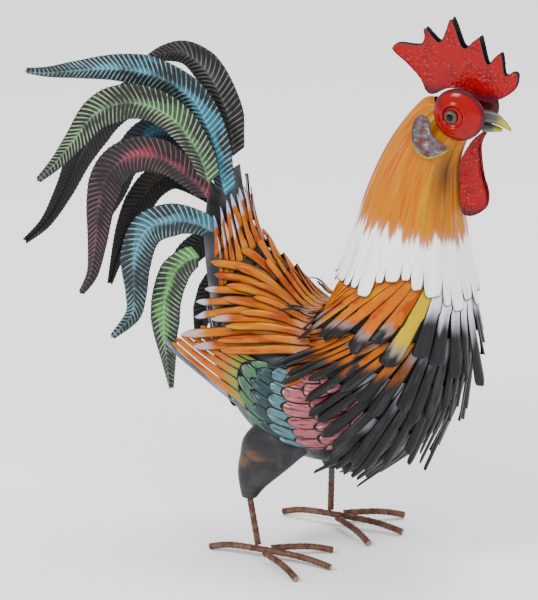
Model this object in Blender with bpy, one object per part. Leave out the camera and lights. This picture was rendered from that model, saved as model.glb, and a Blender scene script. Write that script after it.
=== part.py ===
"""Hand-made metal rooster: painted sheet-metal feathers on a formed body, on legs of ribbed bar.

Metres, +Z up. The rooster faces +X, and its left side is +Y. It is modelled with x = 0 midway between
the feet, and an empty then sets it so that the origin is on the ground under the middle of its length.
Every feather collar is one sheet wrapped round the body and cut into strips.
"""

import math
import random

import bmesh
import bpy
import numpy as np
from mathutils import Vector

HEIGHT = 0.577  # from the ground to the top of the comb
DRAWN_HEIGHT = 0.577  # height that the tables of shapes below are drawn for


def drawn(value):
    """A length, or a table of lengths, as it is on a statue of this height."""
    if isinstance(value, tuple):
        return tuple(drawn(part) for part in value)
    return value if isinstance(value, str) else value * HEIGHT / DRAWN_HEIGHT


SHEET = 0.0012  # gauge of the feather sheet
SICKLE_SHEET = 0.0014  # gauge of the tail feathers and the comb
BAR_RADIUS = 0.0036  # ribbed bar of the legs and toes
CLEARANCE = 0.0004  # gap left between pieces that are welded or rest on each other
HULL_SIDES = 20
NECK_SIDES = 22

# Stations of the torso from the neck round to the tail: back (x, z), breast or belly (x, z), half width
TORSO = drawn((
    ((0.067, 0.329), (0.1795, 0.334), 0.0565),
    ((0.050, 0.268), (0.1860, 0.272), 0.068),
    ((0.045, 0.259), (0.1825, 0.219), 0.074),
    ((0.037, 0.256), (0.157, 0.155), 0.078),
    ((0.031, 0.255), (0.110, 0.113), 0.079),
    ((0.019, 0.256), (0.045, 0.098), 0.077),
    ((0.001, 0.268), (-0.019, 0.110), 0.070),
    ((-0.017, 0.285), (-0.067, 0.157), 0.056),
    ((-0.037, 0.309), (-0.081, 0.221), 0.040),
    ((-0.049, 0.334), (-0.093, 0.264), 0.026),
    ((-0.057, 0.365), (-0.099, 0.313), 0.016),
    ((-0.061, 0.393), (-0.095, 0.359), 0.011),
))
TORSO_END = 7.7
TAIL_ROOT_GAP = 0.03  # in stations
TAIL_ROOT_DOME = drawn(0.004)

# Stations of the neck from the head down: back (x, z), throat (x, z), half width
NECK = drawn((
    ((0.1515, 0.4945), (0.1940, 0.4600), 0.0168),
    ((0.139, 0.491), (0.188, 0.457), 0.0180),
    ((0.121, 0.470), (0.181, 0.441), 0.0275),
    ((0.102, 0.440), (0.177, 0.421), 0.0350),
    ((0.085, 0.402), (0.178, 0.396), 0.0440),
    ((0.071, 0.360), (0.181, 0.368), 0.0540),
    ((0.057, 0.318), (0.187, 0.328), 0.0650),
    ((0.034, 0.268), (0.198, 0.272), 0.0810),
))
NECK_RING = 6  # station of the neck where its lower points start
NECK_FOOT = drawn(0.052)  # from that station to the last one
# Length of the lower points against their angle from the front: least over the orange shoulder
POINT_ANGLES = (0, 30, 50, 62, 88, 100, 180)
POINT_LENGTHS = drawn((0.036, 0.040, 0.022, 0.006, 0.006, 0.018, 0.020))
POINT_TIP = (0.32, 0.68)  # where a point's tip starts and ends, as shares of its width

STRIDE = 0.004  # step of the lines that the strips are laid along
BAND_STEP = 0.020  # longest face of the uncut upper part, so that it follows the body
COLLAR_LIFT = drawn(0.0018)  # height of a collar's upper edge off the torso

# Breast collars from the foot of the neck down: root station, half span, strips, length, uncut upper part,
# and rise of the strips off the body for each metre of their length
BREAST_COLLARS = (
    (0.08, 128, 24, drawn(0.105), drawn(0.046), 0.07),
    (1.30, 116, 22, drawn(0.092), drawn(0.018), 0.115),
    (2.25, 84, 17, drawn(0.092), drawn(0.018), 0.115),
    (3.15, 66, 14, drawn(0.086), drawn(0.018), 0.115),
    (3.80, 56, 10, drawn(0.060), drawn(0.018), 0.115),
)
BREAST_LEAVES = drawn(0.052)  # where a strip parts from the body, as far round as BREAST_LOOSE
BREAST_LOOSE = 95
SADDLE_COLLARS = ((3.90, 12, drawn(0.105)), (5.50, 12, drawn(0.105)), (6.80, 12, drawn(0.080)))
SADDLE_HALF = 52  # half of the angle that a saddle collar covers
SADDLE_SHORT = drawn(0.045)  # length of the strips on the middle of the back
SADDLE_LEAVES = drawn((0.10, 0.045))  # where a strip parts from the body, on the back and at the sides
TAIL_COLLARS = ((8.15, 12, drawn(0.050)), (9.10, 10, drawn(0.040)))
TAIL_SPAN = (84, 276)
RUMP_ROOT = 6.70
RUMP_SPAN = (-48, 48)
RUMP_STRIPS = 8
RUMP_REACH = drawn(0.105)
# The same rise for the other collars
SADDLE_SLOPE = 0.15
TAIL_SLOPE = 0.10
RUMP_SLOPE = 0.03
SADDLE_BAND = drawn(0.018)  # uncut upper part of a collar
TAIL_BAND = drawn(0.014)
RUMP_BAND = drawn(0.030)

# The wing plate: the torso stations and angles it covers, its lift and the rise of each row of scales
WING_S = (3.0, 6.55)
WING_PHI = (56, 117)
WING_ROWS = 5
WING_COLUMNS = 8
WING_LIFT = drawn(0.0018)
SCALE_RISE = drawn(0.0022)
SCALLOP = 0.35  # depth of the scales' rounded edges, as a share of a row
# Tips of the flight feathers (x, z) from the lowest to the highest, and how far out they stand
FLIGHT_TIPS = drawn(((-0.047, 0.152), (-0.075, 0.178), (-0.123, 0.212), (-0.105, 0.216), (-0.087, 0.228)))
FLIGHT_Y = drawn(0.044)

# Tail feathers: name, line of the rib (x, z) from root to tip, y at root and tip, width
SICKLES = drawn((
    ("sickle_crest", ((-0.066, 0.366), (-0.072, 0.388), (-0.080, 0.421), (-0.102, 0.461), (-0.141, 0.480),
                      (-0.185, 0.482), (-0.230, 0.474), (-0.263, 0.467), (-0.287, 0.465)),
     (-0.0165, -0.019), 0.034),
    ("sickle_rear", ((-0.066, 0.402), (-0.070, 0.425), (-0.076, 0.452), (-0.094, 0.484), (-0.119, 0.500),
                     (-0.146, 0.496), (-0.170, 0.482)), (0.0, 0.004), 0.034),
    ("sickle_green", ((-0.079, 0.380), (-0.088, 0.407), (-0.109, 0.436), (-0.137, 0.452), (-0.170, 0.453),
                      (-0.203, 0.436), (-0.227, 0.404), (-0.247, 0.378), (-0.266, 0.358)),
     (-0.0285, -0.037), 0.036),
    ("sickle_far", ((-0.086, 0.372), (-0.100, 0.405), (-0.127, 0.432), (-0.171, 0.445), (-0.215, 0.419),
                    (-0.248, 0.372), (-0.270, 0.326), (-0.292, 0.288), (-0.317, 0.263)),
     (0.018, 0.030), 0.034),
    ("sickle_plum", ((-0.083, 0.362), (-0.101, 0.379), (-0.134, 0.397), (-0.167, 0.394), (-0.191, 0.374),
                     (-0.202, 0.340), (-0.206, 0.297), (-0.211, 0.264), (-0.223, 0.242)),
     (-0.0215, -0.029), 0.036),
    ("sickle_blue", ((-0.090, 0.366), (-0.118, 0.392), (-0.151, 0.405), (-0.178, 0.398), (-0.200, 0.371),
                     (-0.217, 0.326), (-0.245, 0.274)), (0.0245, 0.040), 0.030),
    ("sickle_brown", ((-0.088, 0.340), (-0.109, 0.354), (-0.140, 0.365), (-0.164, 0.352), (-0.181, 0.328),
                      (-0.195, 0.299), (-0.206, 0.264), (-0.213, 0.238)), (0.018, 0.014), 0.030),
    ("sickle_teal", ((-0.074, 0.331), (-0.092, 0.337), (-0.117, 0.337), (-0.145, 0.323), (-0.157, 0.292),
                     (-0.156, 0.255), (-0.159, 0.232), (-0.180, 0.207)), (-0.0300, -0.046), 0.034),
    ("sickle_leaf", ((-0.092, 0.300), (-0.105, 0.294), (-0.119, 0.278), (-0.127, 0.250), (-0.127, 0.218),
                     (-0.122, 0.187), (-0.118, 0.160)), (-0.025, -0.040), 0.032),
    ("sickle_low", ((-0.097, 0.301), (-0.113, 0.294), (-0.135, 0.273), (-0.149, 0.239), (-0.155, 0.217)),
     (0.025, 0.036), 0.026),
    ("sickle_last", ((-0.102, 0.262), (-0.108, 0.247), (-0.114, 0.230), (-0.121, 0.206), (-0.128, 0.178)),
     (0.026, 0.040), 0.022),
))
SICKLE_STEPS = 9
RIB_RISE = drawn(0.003)

# Head: skull, cheeks, eyes, and the outlines (x, z) of the comb halves, wattles and ear lobes
HEAD_CENTRE = Vector(drawn((0.1765, 0, 0.4815)))
HEAD_SIZE = Vector(drawn((0.0260, 0.0155, 0.0238)))
HEAD_DOME = drawn(0.002)
FACE_CENTRE = Vector(drawn((0.185, 0, 0.4855)))
FACE_RADIUS = drawn(0.0262)
FACE_PLANE = drawn(0.0195)
FACE_BULGE = drawn(0.0075)
EYE_CENTRE = Vector(drawn((0.180, 0, 0.485)))
EYE_RADIUS = drawn(0.007)
EYE_RISE = drawn(0.0045)
# The comb's halves part by up to COMB_BULGE each, between its back and front and above its foot
COMB_BULGE = drawn(0.003)
COMB_BACK = drawn(0.125)
COMB_LENGTH = drawn(0.115)
COMB_FOOT = drawn(0.500)
COMB_OPENING = drawn(0.045)
COMB = drawn((
    (0.1428, 0.4990), (0.1360, 0.5117), (0.1223, 0.5243), (0.1077, 0.5351), (0.1067, 0.5400),
    (0.1135, 0.5448), (0.1350, 0.5458), (0.1408, 0.5546), (0.1399, 0.5614), (0.1428, 0.5634),
    (0.1565, 0.5517), (0.1633, 0.5624), (0.1672, 0.5741), (0.1701, 0.5771), (0.1740, 0.5692),
    (0.1828, 0.5497), (0.1935, 0.5575), (0.1994, 0.5624), (0.2023, 0.5546), (0.2082, 0.5361),
    (0.2160, 0.5439), (0.2228, 0.5478), (0.2267, 0.5273), (0.2355, 0.5312), (0.2404, 0.5283),
    (0.2375, 0.5146), (0.2257, 0.5039), (0.2101, 0.4970), (0.1994, 0.4980), (0.1896, 0.5048),
    (0.1770, 0.5066), (0.1640, 0.5045), (0.1506, 0.4970),
))
WATTLE = drawn((
    (0.2062, 0.4642), (0.2020, 0.4560), (0.2000, 0.4460), (0.2027, 0.4216), (0.2085, 0.4011),
    (0.2066, 0.3865), (0.1968, 0.3787), (0.1880, 0.3767), (0.1822, 0.3816), (0.1796, 0.4060),
    (0.1802, 0.4304), (0.1872, 0.4460), (0.1945, 0.4572), (0.2022, 0.4640),
))
WATTLE_Y = drawn(0.0025)
EAR_LOBE = drawn((
    (0.1438, 0.4790), (0.1409, 0.4673), (0.1438, 0.4507), (0.1555, 0.4419), (0.1673, 0.4439),
    (0.1819, 0.4546), (0.1692, 0.4605), (0.1614, 0.4683), (0.1585, 0.4800), (0.1516, 0.4839),
))
EAR_Y = drawn(0.0285)
EAR_TOP = drawn(0.482)
EAR_LEAN = 0.125
# Sections of the beak's halves: x, middle height, half width, half depth
UPPER_BEAK = drawn((
    (0.2045, 0.4815, 0.0083, 0.0060), (0.2170, 0.4800, 0.0060, 0.0052),
    (0.2260, 0.4758, 0.0036, 0.0040), (0.2325, 0.4708, 0.0012, 0.0018),
))
LOWER_BEAK = drawn((
    (0.2045, 0.4695, 0.0073, 0.0046), (0.2150, 0.4698, 0.0052, 0.0034), (0.2230, 0.4695, 0.0022, 0.0018),
))

# Legs: the left foot stands FOOT_X ahead of the middle, the right one as far behind it
FOOT_X = drawn(0.013)
FOOT_Y = drawn(0.059)
HUB_HEIGHT = 0.0102
MIDDLE_TOE = drawn(0.080)
SIDE_TOE = drawn(0.076)
REAR_TOE = drawn(0.053)
TOE_SPREAD = 35
SHANK_GAP = 0.0012  # clear of the toe and the thigh, though the shank leans
# How far the top of each shank stands ahead of its foot
SHANK_LEAN = {"right": drawn(-0.0105), "left": drawn(0.0025)}
THIGH_BOTTOM = drawn(0.064)
THIGH_TOP = drawn(0.146)
THIGH_Y = drawn((0.056, 0.0467))
SEAT_GAP = 0.0012  # between a thigh and the torso that it fits under
# Thigh sections: share of its height, then back x, front x and half width, from the foot and its lean
THIGH_SHARES = (0.0, 0.15, 0.32, 0.53, 0.76, 1.0)
THIGH = drawn((
    (-0.0085, 0.0075, 0.007), (-0.0135, 0.0155, 0.0095), (-0.0175, 0.0285, 0.0125),
    (-0.0180, 0.0440, 0.0155), (-0.0165, 0.0575, 0.017), (-0.0020, 0.0400, 0.009),
))


def material(name, color, roughness=0.4, metallic=0.0):
    made = bpy.data.materials.new(name)
    made.use_nodes = True
    shader = made.node_tree.nodes["Principled BSDF"]
    shader.inputs["Base Color"].default_value = (*color, 1.0)
    shader.inputs["Roughness"].default_value = roughness
    shader.inputs["Metallic"].default_value = metallic
    return made


def add_object(name, mesh_data, finish):
    made = bpy.data.objects.new(name, mesh_data)
    bpy.context.scene.collection.objects.link(made)
    mesh_data.materials.append(finish)
    return made


def mesh_from(name, points, faces):
    made = bpy.data.meshes.new(name)
    made.from_pydata([tuple(p) for p in points], [], faces)
    made.update()
    return made


def catmull(values, t):
    """Smooth value at t, counted in list steps, through a list of equal-length tuples."""
    last = len(values) - 1
    t = min(max(t, 0.0), float(last))
    i = min(int(t), last - 1)
    f = t - i
    a, b = values[max(i - 1, 0)], values[i]
    c, d = values[i + 1], values[min(i + 2, last)]
    return tuple(
        0.5 * (2 * q + (r - p) * f + (2 * p - 5 * q + 4 * r - s) * f * f + (3 * q - p - 3 * r + s) * f**3)
        for p, q, r, s in zip(a, b, c, d)
    )


def flat_stations(stations):
    return [(*back, *front, width) for back, front, width in stations]


TORSO_ROWS = flat_stations(TORSO)
NECK_ROWS = flat_stations(NECK)


def hull_point(rows, s, phi):
    """Point of a lofted hull at station s and angle phi: 0 at the breast, 180 degrees at the back."""
    bx, bz, fx, fz, width = catmull(rows, s)
    c = math.cos(math.radians(phi))
    y = width * math.sin(math.radians(phi))
    return Vector(((bx + fx) / 2 + c * (fx - bx) / 2, y, (bz + fz) / 2 + c * (fz - bz) / 2))


def hull_frame(rows, s, phi):
    """Point, change per station, change per degree, and outward normal of a lofted hull."""
    ds, dp = 0.02, 1.0
    low, high = max(s - ds, 0.0), min(s + ds, len(rows) - 1.0)
    along = (hull_point(rows, high, phi) - hull_point(rows, low, phi)) / (high - low)
    around = (hull_point(rows, s, phi + dp) - hull_point(rows, s, phi - dp)) / (2 * dp)
    return hull_point(rows, s, phi), along, around, along.cross(around).normalized()


def on_torso(s, phi, height=0.0):
    point, _, _, normal = hull_frame(TORSO_ROWS, s, phi)
    return point + normal * height


def loft_solid(name, rings, finish, domes=(0.0, 0.0)):
    """Closed solid through rings of points, each end closed on a centre point pushed out by its dome."""
    sides = len(rings[0])
    points = [p for ring in rings for p in ring]
    faces = []
    for i in range(len(rings) - 1):
        for j in range(sides):
            k = (j + 1) % sides
            faces.append((i * sides + j, i * sides + k, (i + 1) * sides + k, (i + 1) * sides + j))
    for end, dome in ((0, domes[0]), (len(rings) - 1, domes[1])):
        ring = rings[end]
        centre = sum(ring, Vector()) / sides
        inner = rings[1] if end == 0 else rings[end - 1]
        outward = (centre - sum(inner, Vector()) / sides).normalized()
        points.append(centre + outward * dome)
        for j in range(sides):
            faces.append((len(points) - 1, end * sides + j, end * sides + (j + 1) % sides))
    made = mesh_from(name, points, faces)
    shape = bmesh.new()
    shape.from_mesh(made)
    bmesh.ops.recalc_face_normals(shape, faces=shape.faces)
    shape.to_mesh(made)
    shape.free()
    made.shade_smooth()
    return add_object(name, made, finish)


def gauged(sheet, gauge, offset):
    """Gives a drawn surface the gauge of its metal."""
    thick = sheet.modifiers.new("gauge", "SOLIDIFY")
    thick.thickness = gauge
    thick.offset = offset
    return sheet


def cut_sheet(name, points, faces, finish, gauge=SHEET, offset=1.0):
    """A sheet from points and faces, its gauge laid outward from the drawn surface."""
    return gauged(add_object(name, mesh_from(name, points, faces), finish), gauge, offset)


def mixed(a, b, t):
    return a + (b - a) * t


def walk(s, phi, direction, reach, leaves=1.0):
    """Points and normals, STRIDE apart, of a line laid on the torso from (s, phi).

    It heads as near to direction as the surface lets it. At the distance leaves it parts from the surface
    and runs on straight.
    """
    heading = Vector(direction).normalized()
    point, along, around, normal = hull_frame(TORSO_ROWS, s, phi)
    made = [(point, normal)]
    for k in range(math.ceil(reach / STRIDE) + 1):
        if k * STRIDE < leaves:
            tangent = (heading - normal * heading.dot(normal)).normalized()
            aa, ab, bb = along.dot(along), along.dot(around), around.dot(around)
            ta, tb = tangent.dot(along), tangent.dot(around)
            spread = max(aa * bb - ab * ab, 1e-16)
            s = min(s + STRIDE * (ta * bb - tb * ab) / spread, len(TORSO_ROWS) - 1.001)
            phi += STRIDE * (tb * aa - ta * ab) / spread
            point, along, around, normal = hull_frame(TORSO_ROWS, s, phi)
        else:
            point = point + tangent * STRIDE
        made.append((point, normal))
    return made


def on_line(line, distance, height):
    """Point of a walked line at a distance along it, raised by height along the surface's normal."""
    place = min(distance / STRIDE, len(line) - 1.001)
    i = int(place)
    (a, normal_a), (b, normal_b) = line[i], line[i + 1]
    return a.lerp(b, place - i) + normal_a.lerp(normal_b, place - i).normalized() * height


def fringe(name, finish, seed, station, span, count, band, reach, heading, lift, slope,
           rows=3, taper=0.55, leaves=lambda phi: 1.0):
    """A collar on the torso: a band, and below it count strips that taper and rise towards their tips.

    span is the range of phi that it covers, station the row where the band starts, reach(phi) the length
    of a strip there and heading(phi) the way it points.
    """
    dice = random.Random(seed)
    edges = [mixed(*span, j / count) for j in range(count + 1)]
    lines = [walk(station, phi, heading(phi), reach(phi) * 1.2, leaves(phi)) for phi in edges]
    steps = math.ceil(band / BAND_STEP)
    depths = [band * k / steps for k in range(steps + 1)]
    points = [on_line(line, d, lift + slope * d) for line in lines for d in depths]
    faces = []
    for j in range(count):
        corner = j * len(depths)
        for k in range(corner, corner + steps):
            faces.append((k, k + 1, k + 1 + len(depths), k + len(depths)))
        middle = (edges[j] + edges[j + 1]) / 2
        length = reach(middle) * (0.84 + 0.32 * dice.random())
        sway = taper * 0.6 * (dice.random() - 0.5)
        left, right = corner + steps, corner + steps + len(depths)
        for k in range(1, rows + 1):
            share = k / rows
            d = mixed(band, length, share)
            a = on_line(lines[j], d, lift + slope * d)
            b = on_line(lines[j + 1], d, lift + slope * d)
            trim = taper * share / 2
            points.append(a.lerp(b, trim + sway * share))
            points.append(a.lerp(b, 1 - trim + sway * share))
            faces.append((left, len(points) - 2, len(points) - 1, right))
            left, right = len(points) - 2, len(points) - 1
    return cut_sheet(name, points, faces, finish)


def torso_hull(name, lift=0.0):
    stations = (0.0, 0.5, 1.0, 1.5, 2.0, 2.6, 3.2, 3.9, 4.6, 5.3, 6.0, 6.7, 7.25, TORSO_END)
    rings = [[on_torso(s, 360 * k / HULL_SIDES, lift) for k in range(HULL_SIDES)] for s in stations]
    return loft_solid(name, rings, GREY)


def tail_root():
    stations = (TORSO_END + TAIL_ROOT_GAP, 8.4, 9.2, 10.0, 11.0)
    rings = [[on_torso(s, 360 * k / HULL_SIDES) for k in range(HULL_SIDES)] for s in stations]
    return loft_solid("tail_root", rings, GREY, domes=(0.0, TAIL_ROOT_DOME))


def neck():
    """A cone of sheet, open at both ends, its lower edge cut into points."""
    dice = random.Random(5)
    rows = NECK_RING + 1
    step = 360 / NECK_SIDES
    angles = [step * j - 180 for j in range(NECK_SIDES)]
    points = [hull_point(NECK_ROWS, t, phi) for phi in angles for t in range(rows)]
    faces = []
    for j, phi in enumerate(angles):
        k = (j + 1) % NECK_SIDES
        for t in range(rows - 1):
            faces.append((j * rows + t, j * rows + t + 1, k * rows + t + 1, k * rows + t))
        length = float(np.interp(abs(phi + step / 2), POINT_ANGLES, POINT_LENGTHS))
        length *= 0.8 + 0.4 * dice.random()
        for lean in POINT_TIP:
            points.append(hull_point(NECK_ROWS, NECK_RING + length / NECK_FOOT, phi + step * lean))
        faces.append((j * rows + rows - 1, len(points) - 2, len(points) - 1, k * rows + rows - 1))
    return cut_sheet("neck", points, faces, ORANGE, offset=-1.0)


def breast_heading(phi):
    side = min(1.0, abs(phi) / 95)
    side = side * side * (3 - 2 * side)
    return (mixed(-0.30, -0.85, side), 0.0, mixed(-1.0, -0.62, side))


def breast_collars():
    """Collars from the foot of the neck down to the legs."""
    for i, (root, half, count, length, band, slope) in enumerate(BREAST_COLLARS):
        fringe(f"breast_collar_{i + 1}", BLACK if i else ORANGE, 11 + i, root, (-half, half), count, band,
               lambda phi: length, breast_heading, COLLAR_LIFT, slope,
               leaves=lambda phi: BREAST_LEAVES if abs(phi) < BREAST_LOOSE else 1.0)


def saddle_heading(phi):
    side = abs(phi - 180) / SADDLE_HALF
    return (-1.0, 0.0, mixed(0.30, -0.30, side))


def saddle_collars():
    """Collars over the back. Their side strips run off the body towards the tail."""
    span = (180 - SADDLE_HALF, 180 + SADDLE_HALF)
    for i, (root, count, length) in enumerate(SADDLE_COLLARS):
        fringe(f"saddle_collar_{i + 1}", ORANGE, 31 + i, root, span, count, SADDLE_BAND,
               lambda phi: mixed(SADDLE_SHORT, length, abs(phi - 180) / SADDLE_HALF),
               saddle_heading, COLLAR_LIFT, SADDLE_SLOPE,
               leaves=lambda phi: mixed(*SADDLE_LEAVES, abs(phi - 180) / SADDLE_HALF))


def tail_collars():
    """Pointed strips that stand up round the foot of the tail."""
    for i, (root, count, length) in enumerate(TAIL_COLLARS):
        fringe(f"tail_collar_{i + 1}", ORANGE, 51 + i, root, TAIL_SPAN, count, TAIL_BAND, lambda phi: length,
               lambda phi: (-0.25, 0.0, 1.0), COLLAR_LIFT, TAIL_SLOPE, rows=2, taper=0.85)


def rump_skirt():
    """The wide strips under the tail."""
    return fringe("rump_skirt", GREY, 61, RUMP_ROOT, RUMP_SPAN, RUMP_STRIPS, RUMP_BAND,
                  lambda phi: RUMP_REACH, lambda phi: (-0.50, 0.0, 0.86), COLLAR_LIFT, RUMP_SLOPE, taper=0.5)


def wing(name, side):
    """A stamped plate: rows of scales on the body, then the long flight feathers that stand off behind it.

    Each row of scales rises to its scalloped rear edge and steps down to the next.
    """
    wide = WING_COLUMNS + 1
    points, faces = [], []
    for row in range(WING_ROWS):
        for edge in (0, 1):
            for c in range(wide):
                v = 2 * c / WING_COLUMNS - 1
                scallop = SCALLOP * (c % 2) if row or edge else 0
                u = 2 * (row + edge + scallop) / (WING_ROWS + SCALLOP) - 1
                s = mixed(*WING_S, 0.5 + 0.5 * u * math.sqrt(1 - 0.5 * v * v))
                phi = mixed(*WING_PHI, 0.5 + 0.5 * v * math.sqrt(1 - 0.45 * u * u))
                points.append(on_torso(s, side * phi, WING_LIFT + SCALE_RISE * edge))
    for c in range(wide):
        x, z = catmull(FLIGHT_TIPS, c / WING_COLUMNS * (len(FLIGHT_TIPS) - 1))
        points.append(Vector((x, side * FLIGHT_Y, z)))
    for r in range(2 * WING_ROWS):
        for c in range(WING_COLUMNS):
            quad = (r * wide + c, (r + 1) * wide + c, (r + 1) * wide + c + 1, r * wide + c + 1)
            faces.append(quad if side > 0 else quad[::-1])
    return cut_sheet(name, points, faces, TEAL)


def sickle(name, line, reach, width):
    """A curved strip, creased along its rib so that the rib stands towards the nearer side."""
    outward = -1.0 if reach[0] <= 0 else 1.0
    middle = [(x, 0.0, z) for x, z in line]
    last = len(line) - 1
    points, faces = [], []
    for k in range(SICKLE_STEPS + 1):
        t = k / SICKLE_STEPS
        here = Vector(catmull(middle, t * last))
        ahead = Vector(catmull(middle, t * last + 0.05))
        behind = Vector(catmull(middle, t * last - 0.05))
        side = (ahead - behind).normalized().cross(Vector((0, 1, 0)))
        half = width / 2 * min(1.0, 0.62 + 1.6 * t) * min(1.0, 0.16 + 1.9 * (1 - t))
        y = mixed(*reach, t)
        points.append(here + side * half + Vector((0, y, 0)))
        points.append(here + Vector((0, y + outward * RIB_RISE, 0)))
        points.append(here - side * half + Vector((0, y, 0)))
    for k in range(SICKLE_STEPS):
        for c in (0, 1):
            faces.append((3 * k + c, 3 * k + c + 1, 3 * k + c + 4, 3 * k + c + 3))
    return cut_sheet(name, points, faces, STEEL, gauge=SICKLE_SHEET, offset=0.0)


def outline_sheet(name, outline, place, finish, side):
    """A cut sheet: an outline of (x, z) filled with triangles, its inner face at y = side * place(x, z)."""
    shape = bmesh.new()
    shape.faces.new([shape.verts.new((x, 0.0, z)) for x, z in outline])
    bmesh.ops.triangulate(shape, faces=shape.faces)
    inner = set(shape.verts)
    bmesh.ops.extrude_face_region(shape, geom=shape.faces[:], use_keep_orig=True)
    for corner in shape.verts:
        out = place(corner.co.x, corner.co.z) + (0.0 if corner in inner else SICKLE_SHEET)
        corner.co.y = side * out
    bmesh.ops.recalc_face_normals(shape, faces=shape.faces)
    made = bpy.data.meshes.new(name)
    shape.to_mesh(made)
    shape.free()
    return add_object(name, made, finish)


def comb_place(x, z):
    """The two halves of the comb touch at its ends and part in its middle."""
    along = min(max((x - COMB_BACK) / COMB_LENGTH, 0.0), 1.0)
    up = min(max((z - COMB_FOOT) / COMB_OPENING, 0.0), 1.0)
    return CLEARANCE + COMB_BULGE * math.sin(math.pi * along) * up


def head():
    """The stamped skull, a ball set in the neck's open top."""
    rings = []
    for k in range(1, 8):
        a = math.pi * k / 8
        ring = [Vector((-math.cos(a), math.sin(a) * math.cos(b), math.sin(a) * math.sin(b)))
                for b in (2 * math.pi * j / 14 for j in range(14))]
        rings.append([HEAD_CENTRE + p * HEAD_SIZE for p in ring])
    return loft_solid("head", rings, RED, domes=(HEAD_DOME, HEAD_DOME))


def cheek_ring(radius, y, sides, side, shift=0.0):
    """A circle round the cheek, moved by the share shift towards the eye."""
    centre = FACE_CENTRE.lerp(EYE_CENTRE, shift)
    angles = (2 * math.pi * j / sides for j in range(sides))
    flat = [Vector((math.cos(b), 0.0, math.sin(b))) for b in angles]
    return [Vector((centre.x, side * y, centre.z)) + p * radius for p in flat]


def face_disc(name, side):
    """A domed disc on the cheek."""
    steps = ((1.0, 0.0), (0.97, 0.35), (0.72, 0.80), (0.40, 1.0))
    rings = [cheek_ring(FACE_RADIUS * share, FACE_PLANE + FACE_BULGE * rise, 18, side, 1 - share)
             for share, rise in steps]
    return loft_solid(name, rings, RED)


def eye(name, side):
    base = FACE_PLANE + FACE_BULGE + CLEARANCE
    steps = ((1.0, 0.0), (1.0, 0.3), (0.75, 0.75), (0.35, 1.0))
    rings = [cheek_ring(EYE_RADIUS * share, base + EYE_RISE * rise, 12, side, 1.0) for share, rise in steps]
    return loft_solid(name, rings, BLACK)


def beak_half(name, sections):
    """A horn, from sections of x, middle height, half width and half depth."""
    rings = []
    for x, z, half_width, half_depth in sections:
        angles = (2 * math.pi * j / 10 for j in range(10))
        rings.append([Vector((x, half_width * math.cos(b), z + half_depth * math.sin(b))) for b in angles])
    return loft_solid(name, rings, YELLOW)


def bar(name, line):
    """Round bar along a line of points, cut square at both ends."""
    curve = bpy.data.curves.new(name, "CURVE")
    curve.dimensions = "3D"
    curve.bevel_depth = BAR_RADIUS
    curve.bevel_resolution = 2
    curve.use_fill_caps = True
    spline = curve.splines.new("POLY")
    spline.points.add(len(line) - 1)
    for spot, point in zip(spline.points, line):
        spot.co = (*point, 1.0)
    return add_object(name, curve, RUST)


def toe_line(hub, angle, start, length):
    """Centre line of a toe bar: level from start, then bent down until its tip lies on the ground."""
    fall = HUB_HEIGHT - BAR_RADIUS
    way = Vector((math.cos(math.radians(angle)), math.sin(math.radians(angle)), 0))
    shares = ((0.0, 0.0), (0.45, 0.06), (0.70, 0.30), (0.88, 0.68), (1.0, 1.0))
    line = []
    for share, drop in shares:
        place = hub + way * mixed(start, length, share)
        line.append(Vector((place.x, place.y, HUB_HEIGHT - fall * drop)))
    return line


def leg(name, side, forward, lean, skin):
    """Thigh, shank and toe bars of one leg."""
    hub = Vector((forward, side * FOOT_Y, HUB_HEIGHT))
    middle = toe_line(hub, 0, 0.0, MIDDLE_TOE)
    rear = toe_line(hub, 180, 0.0, REAR_TOE)
    bar(f"{name}_middle_toe", rear[:0:-1] + middle)
    start = (2 * BAR_RADIUS + CLEARANCE) / math.sin(math.radians(TOE_SPREAD))
    for place, angle in (("outer", side * TOE_SPREAD), ("inner", -side * TOE_SPREAD)):
        bar(f"{name}_{place}_toe", toe_line(hub, angle, start, SIDE_TOE))
    ankle = Vector((forward + lean, side * THIGH_Y[0], THIGH_BOTTOM))
    foot = Vector((hub.x, hub.y, HUB_HEIGHT + BAR_RADIUS + SHANK_GAP))
    bar(f"{name}_shank", [foot, ankle - Vector((0, 0, SHANK_GAP))])
    rings = []
    for share, (behind, ahead, half) in zip(THIGH_SHARES, THIGH):
        angles = (2 * math.pi * j / 16 for j in range(16))
        centre = Vector((forward + lean * (1 - share) + (behind + ahead) / 2, side * mixed(*THIGH_Y, share),
                         mixed(THIGH_BOTTOM, THIGH_TOP, share)))
        reach = (ahead - behind) / 2
        rings.append([centre + Vector((reach * math.cos(b), half * math.sin(b), 0.0)) for b in angles])
    thigh = loft_solid(f"{name}_thigh", rings, GREY)
    cut = thigh.modifiers.new("torso seat", "BOOLEAN")
    cut.operation = "DIFFERENCE"
    cut.object = skin


def torso_skin():
    """A cutter a clearance larger than the torso, which the thighs are fitted to."""
    made = torso_hull("torso_skin", SEAT_GAP)
    made.hide_render = True
    made.display_type = "WIRE"
    return made


for old in list(bpy.data.objects):
    bpy.data.objects.remove(old)

GREY = material("grey_paint", (0.09, 0.095, 0.10), 0.45, 0.2)
BLACK = material("black_paint", (0.02, 0.021, 0.023), 0.35)
ORANGE = material("orange_paint", (0.80, 0.29, 0.03), 0.35)
TEAL = material("teal_paint", (0.10, 0.28, 0.26), 0.4)
STEEL = material("dark_steel", (0.07, 0.09, 0.095), 0.4, 0.4)
RED = material("red_paint", (0.60, 0.01, 0.015), 0.25)
YELLOW = material("yellow_paint", (0.65, 0.50, 0.10), 0.35)
RUST = material("rusty_bar", (0.17, 0.08, 0.05), 0.8)

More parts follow.
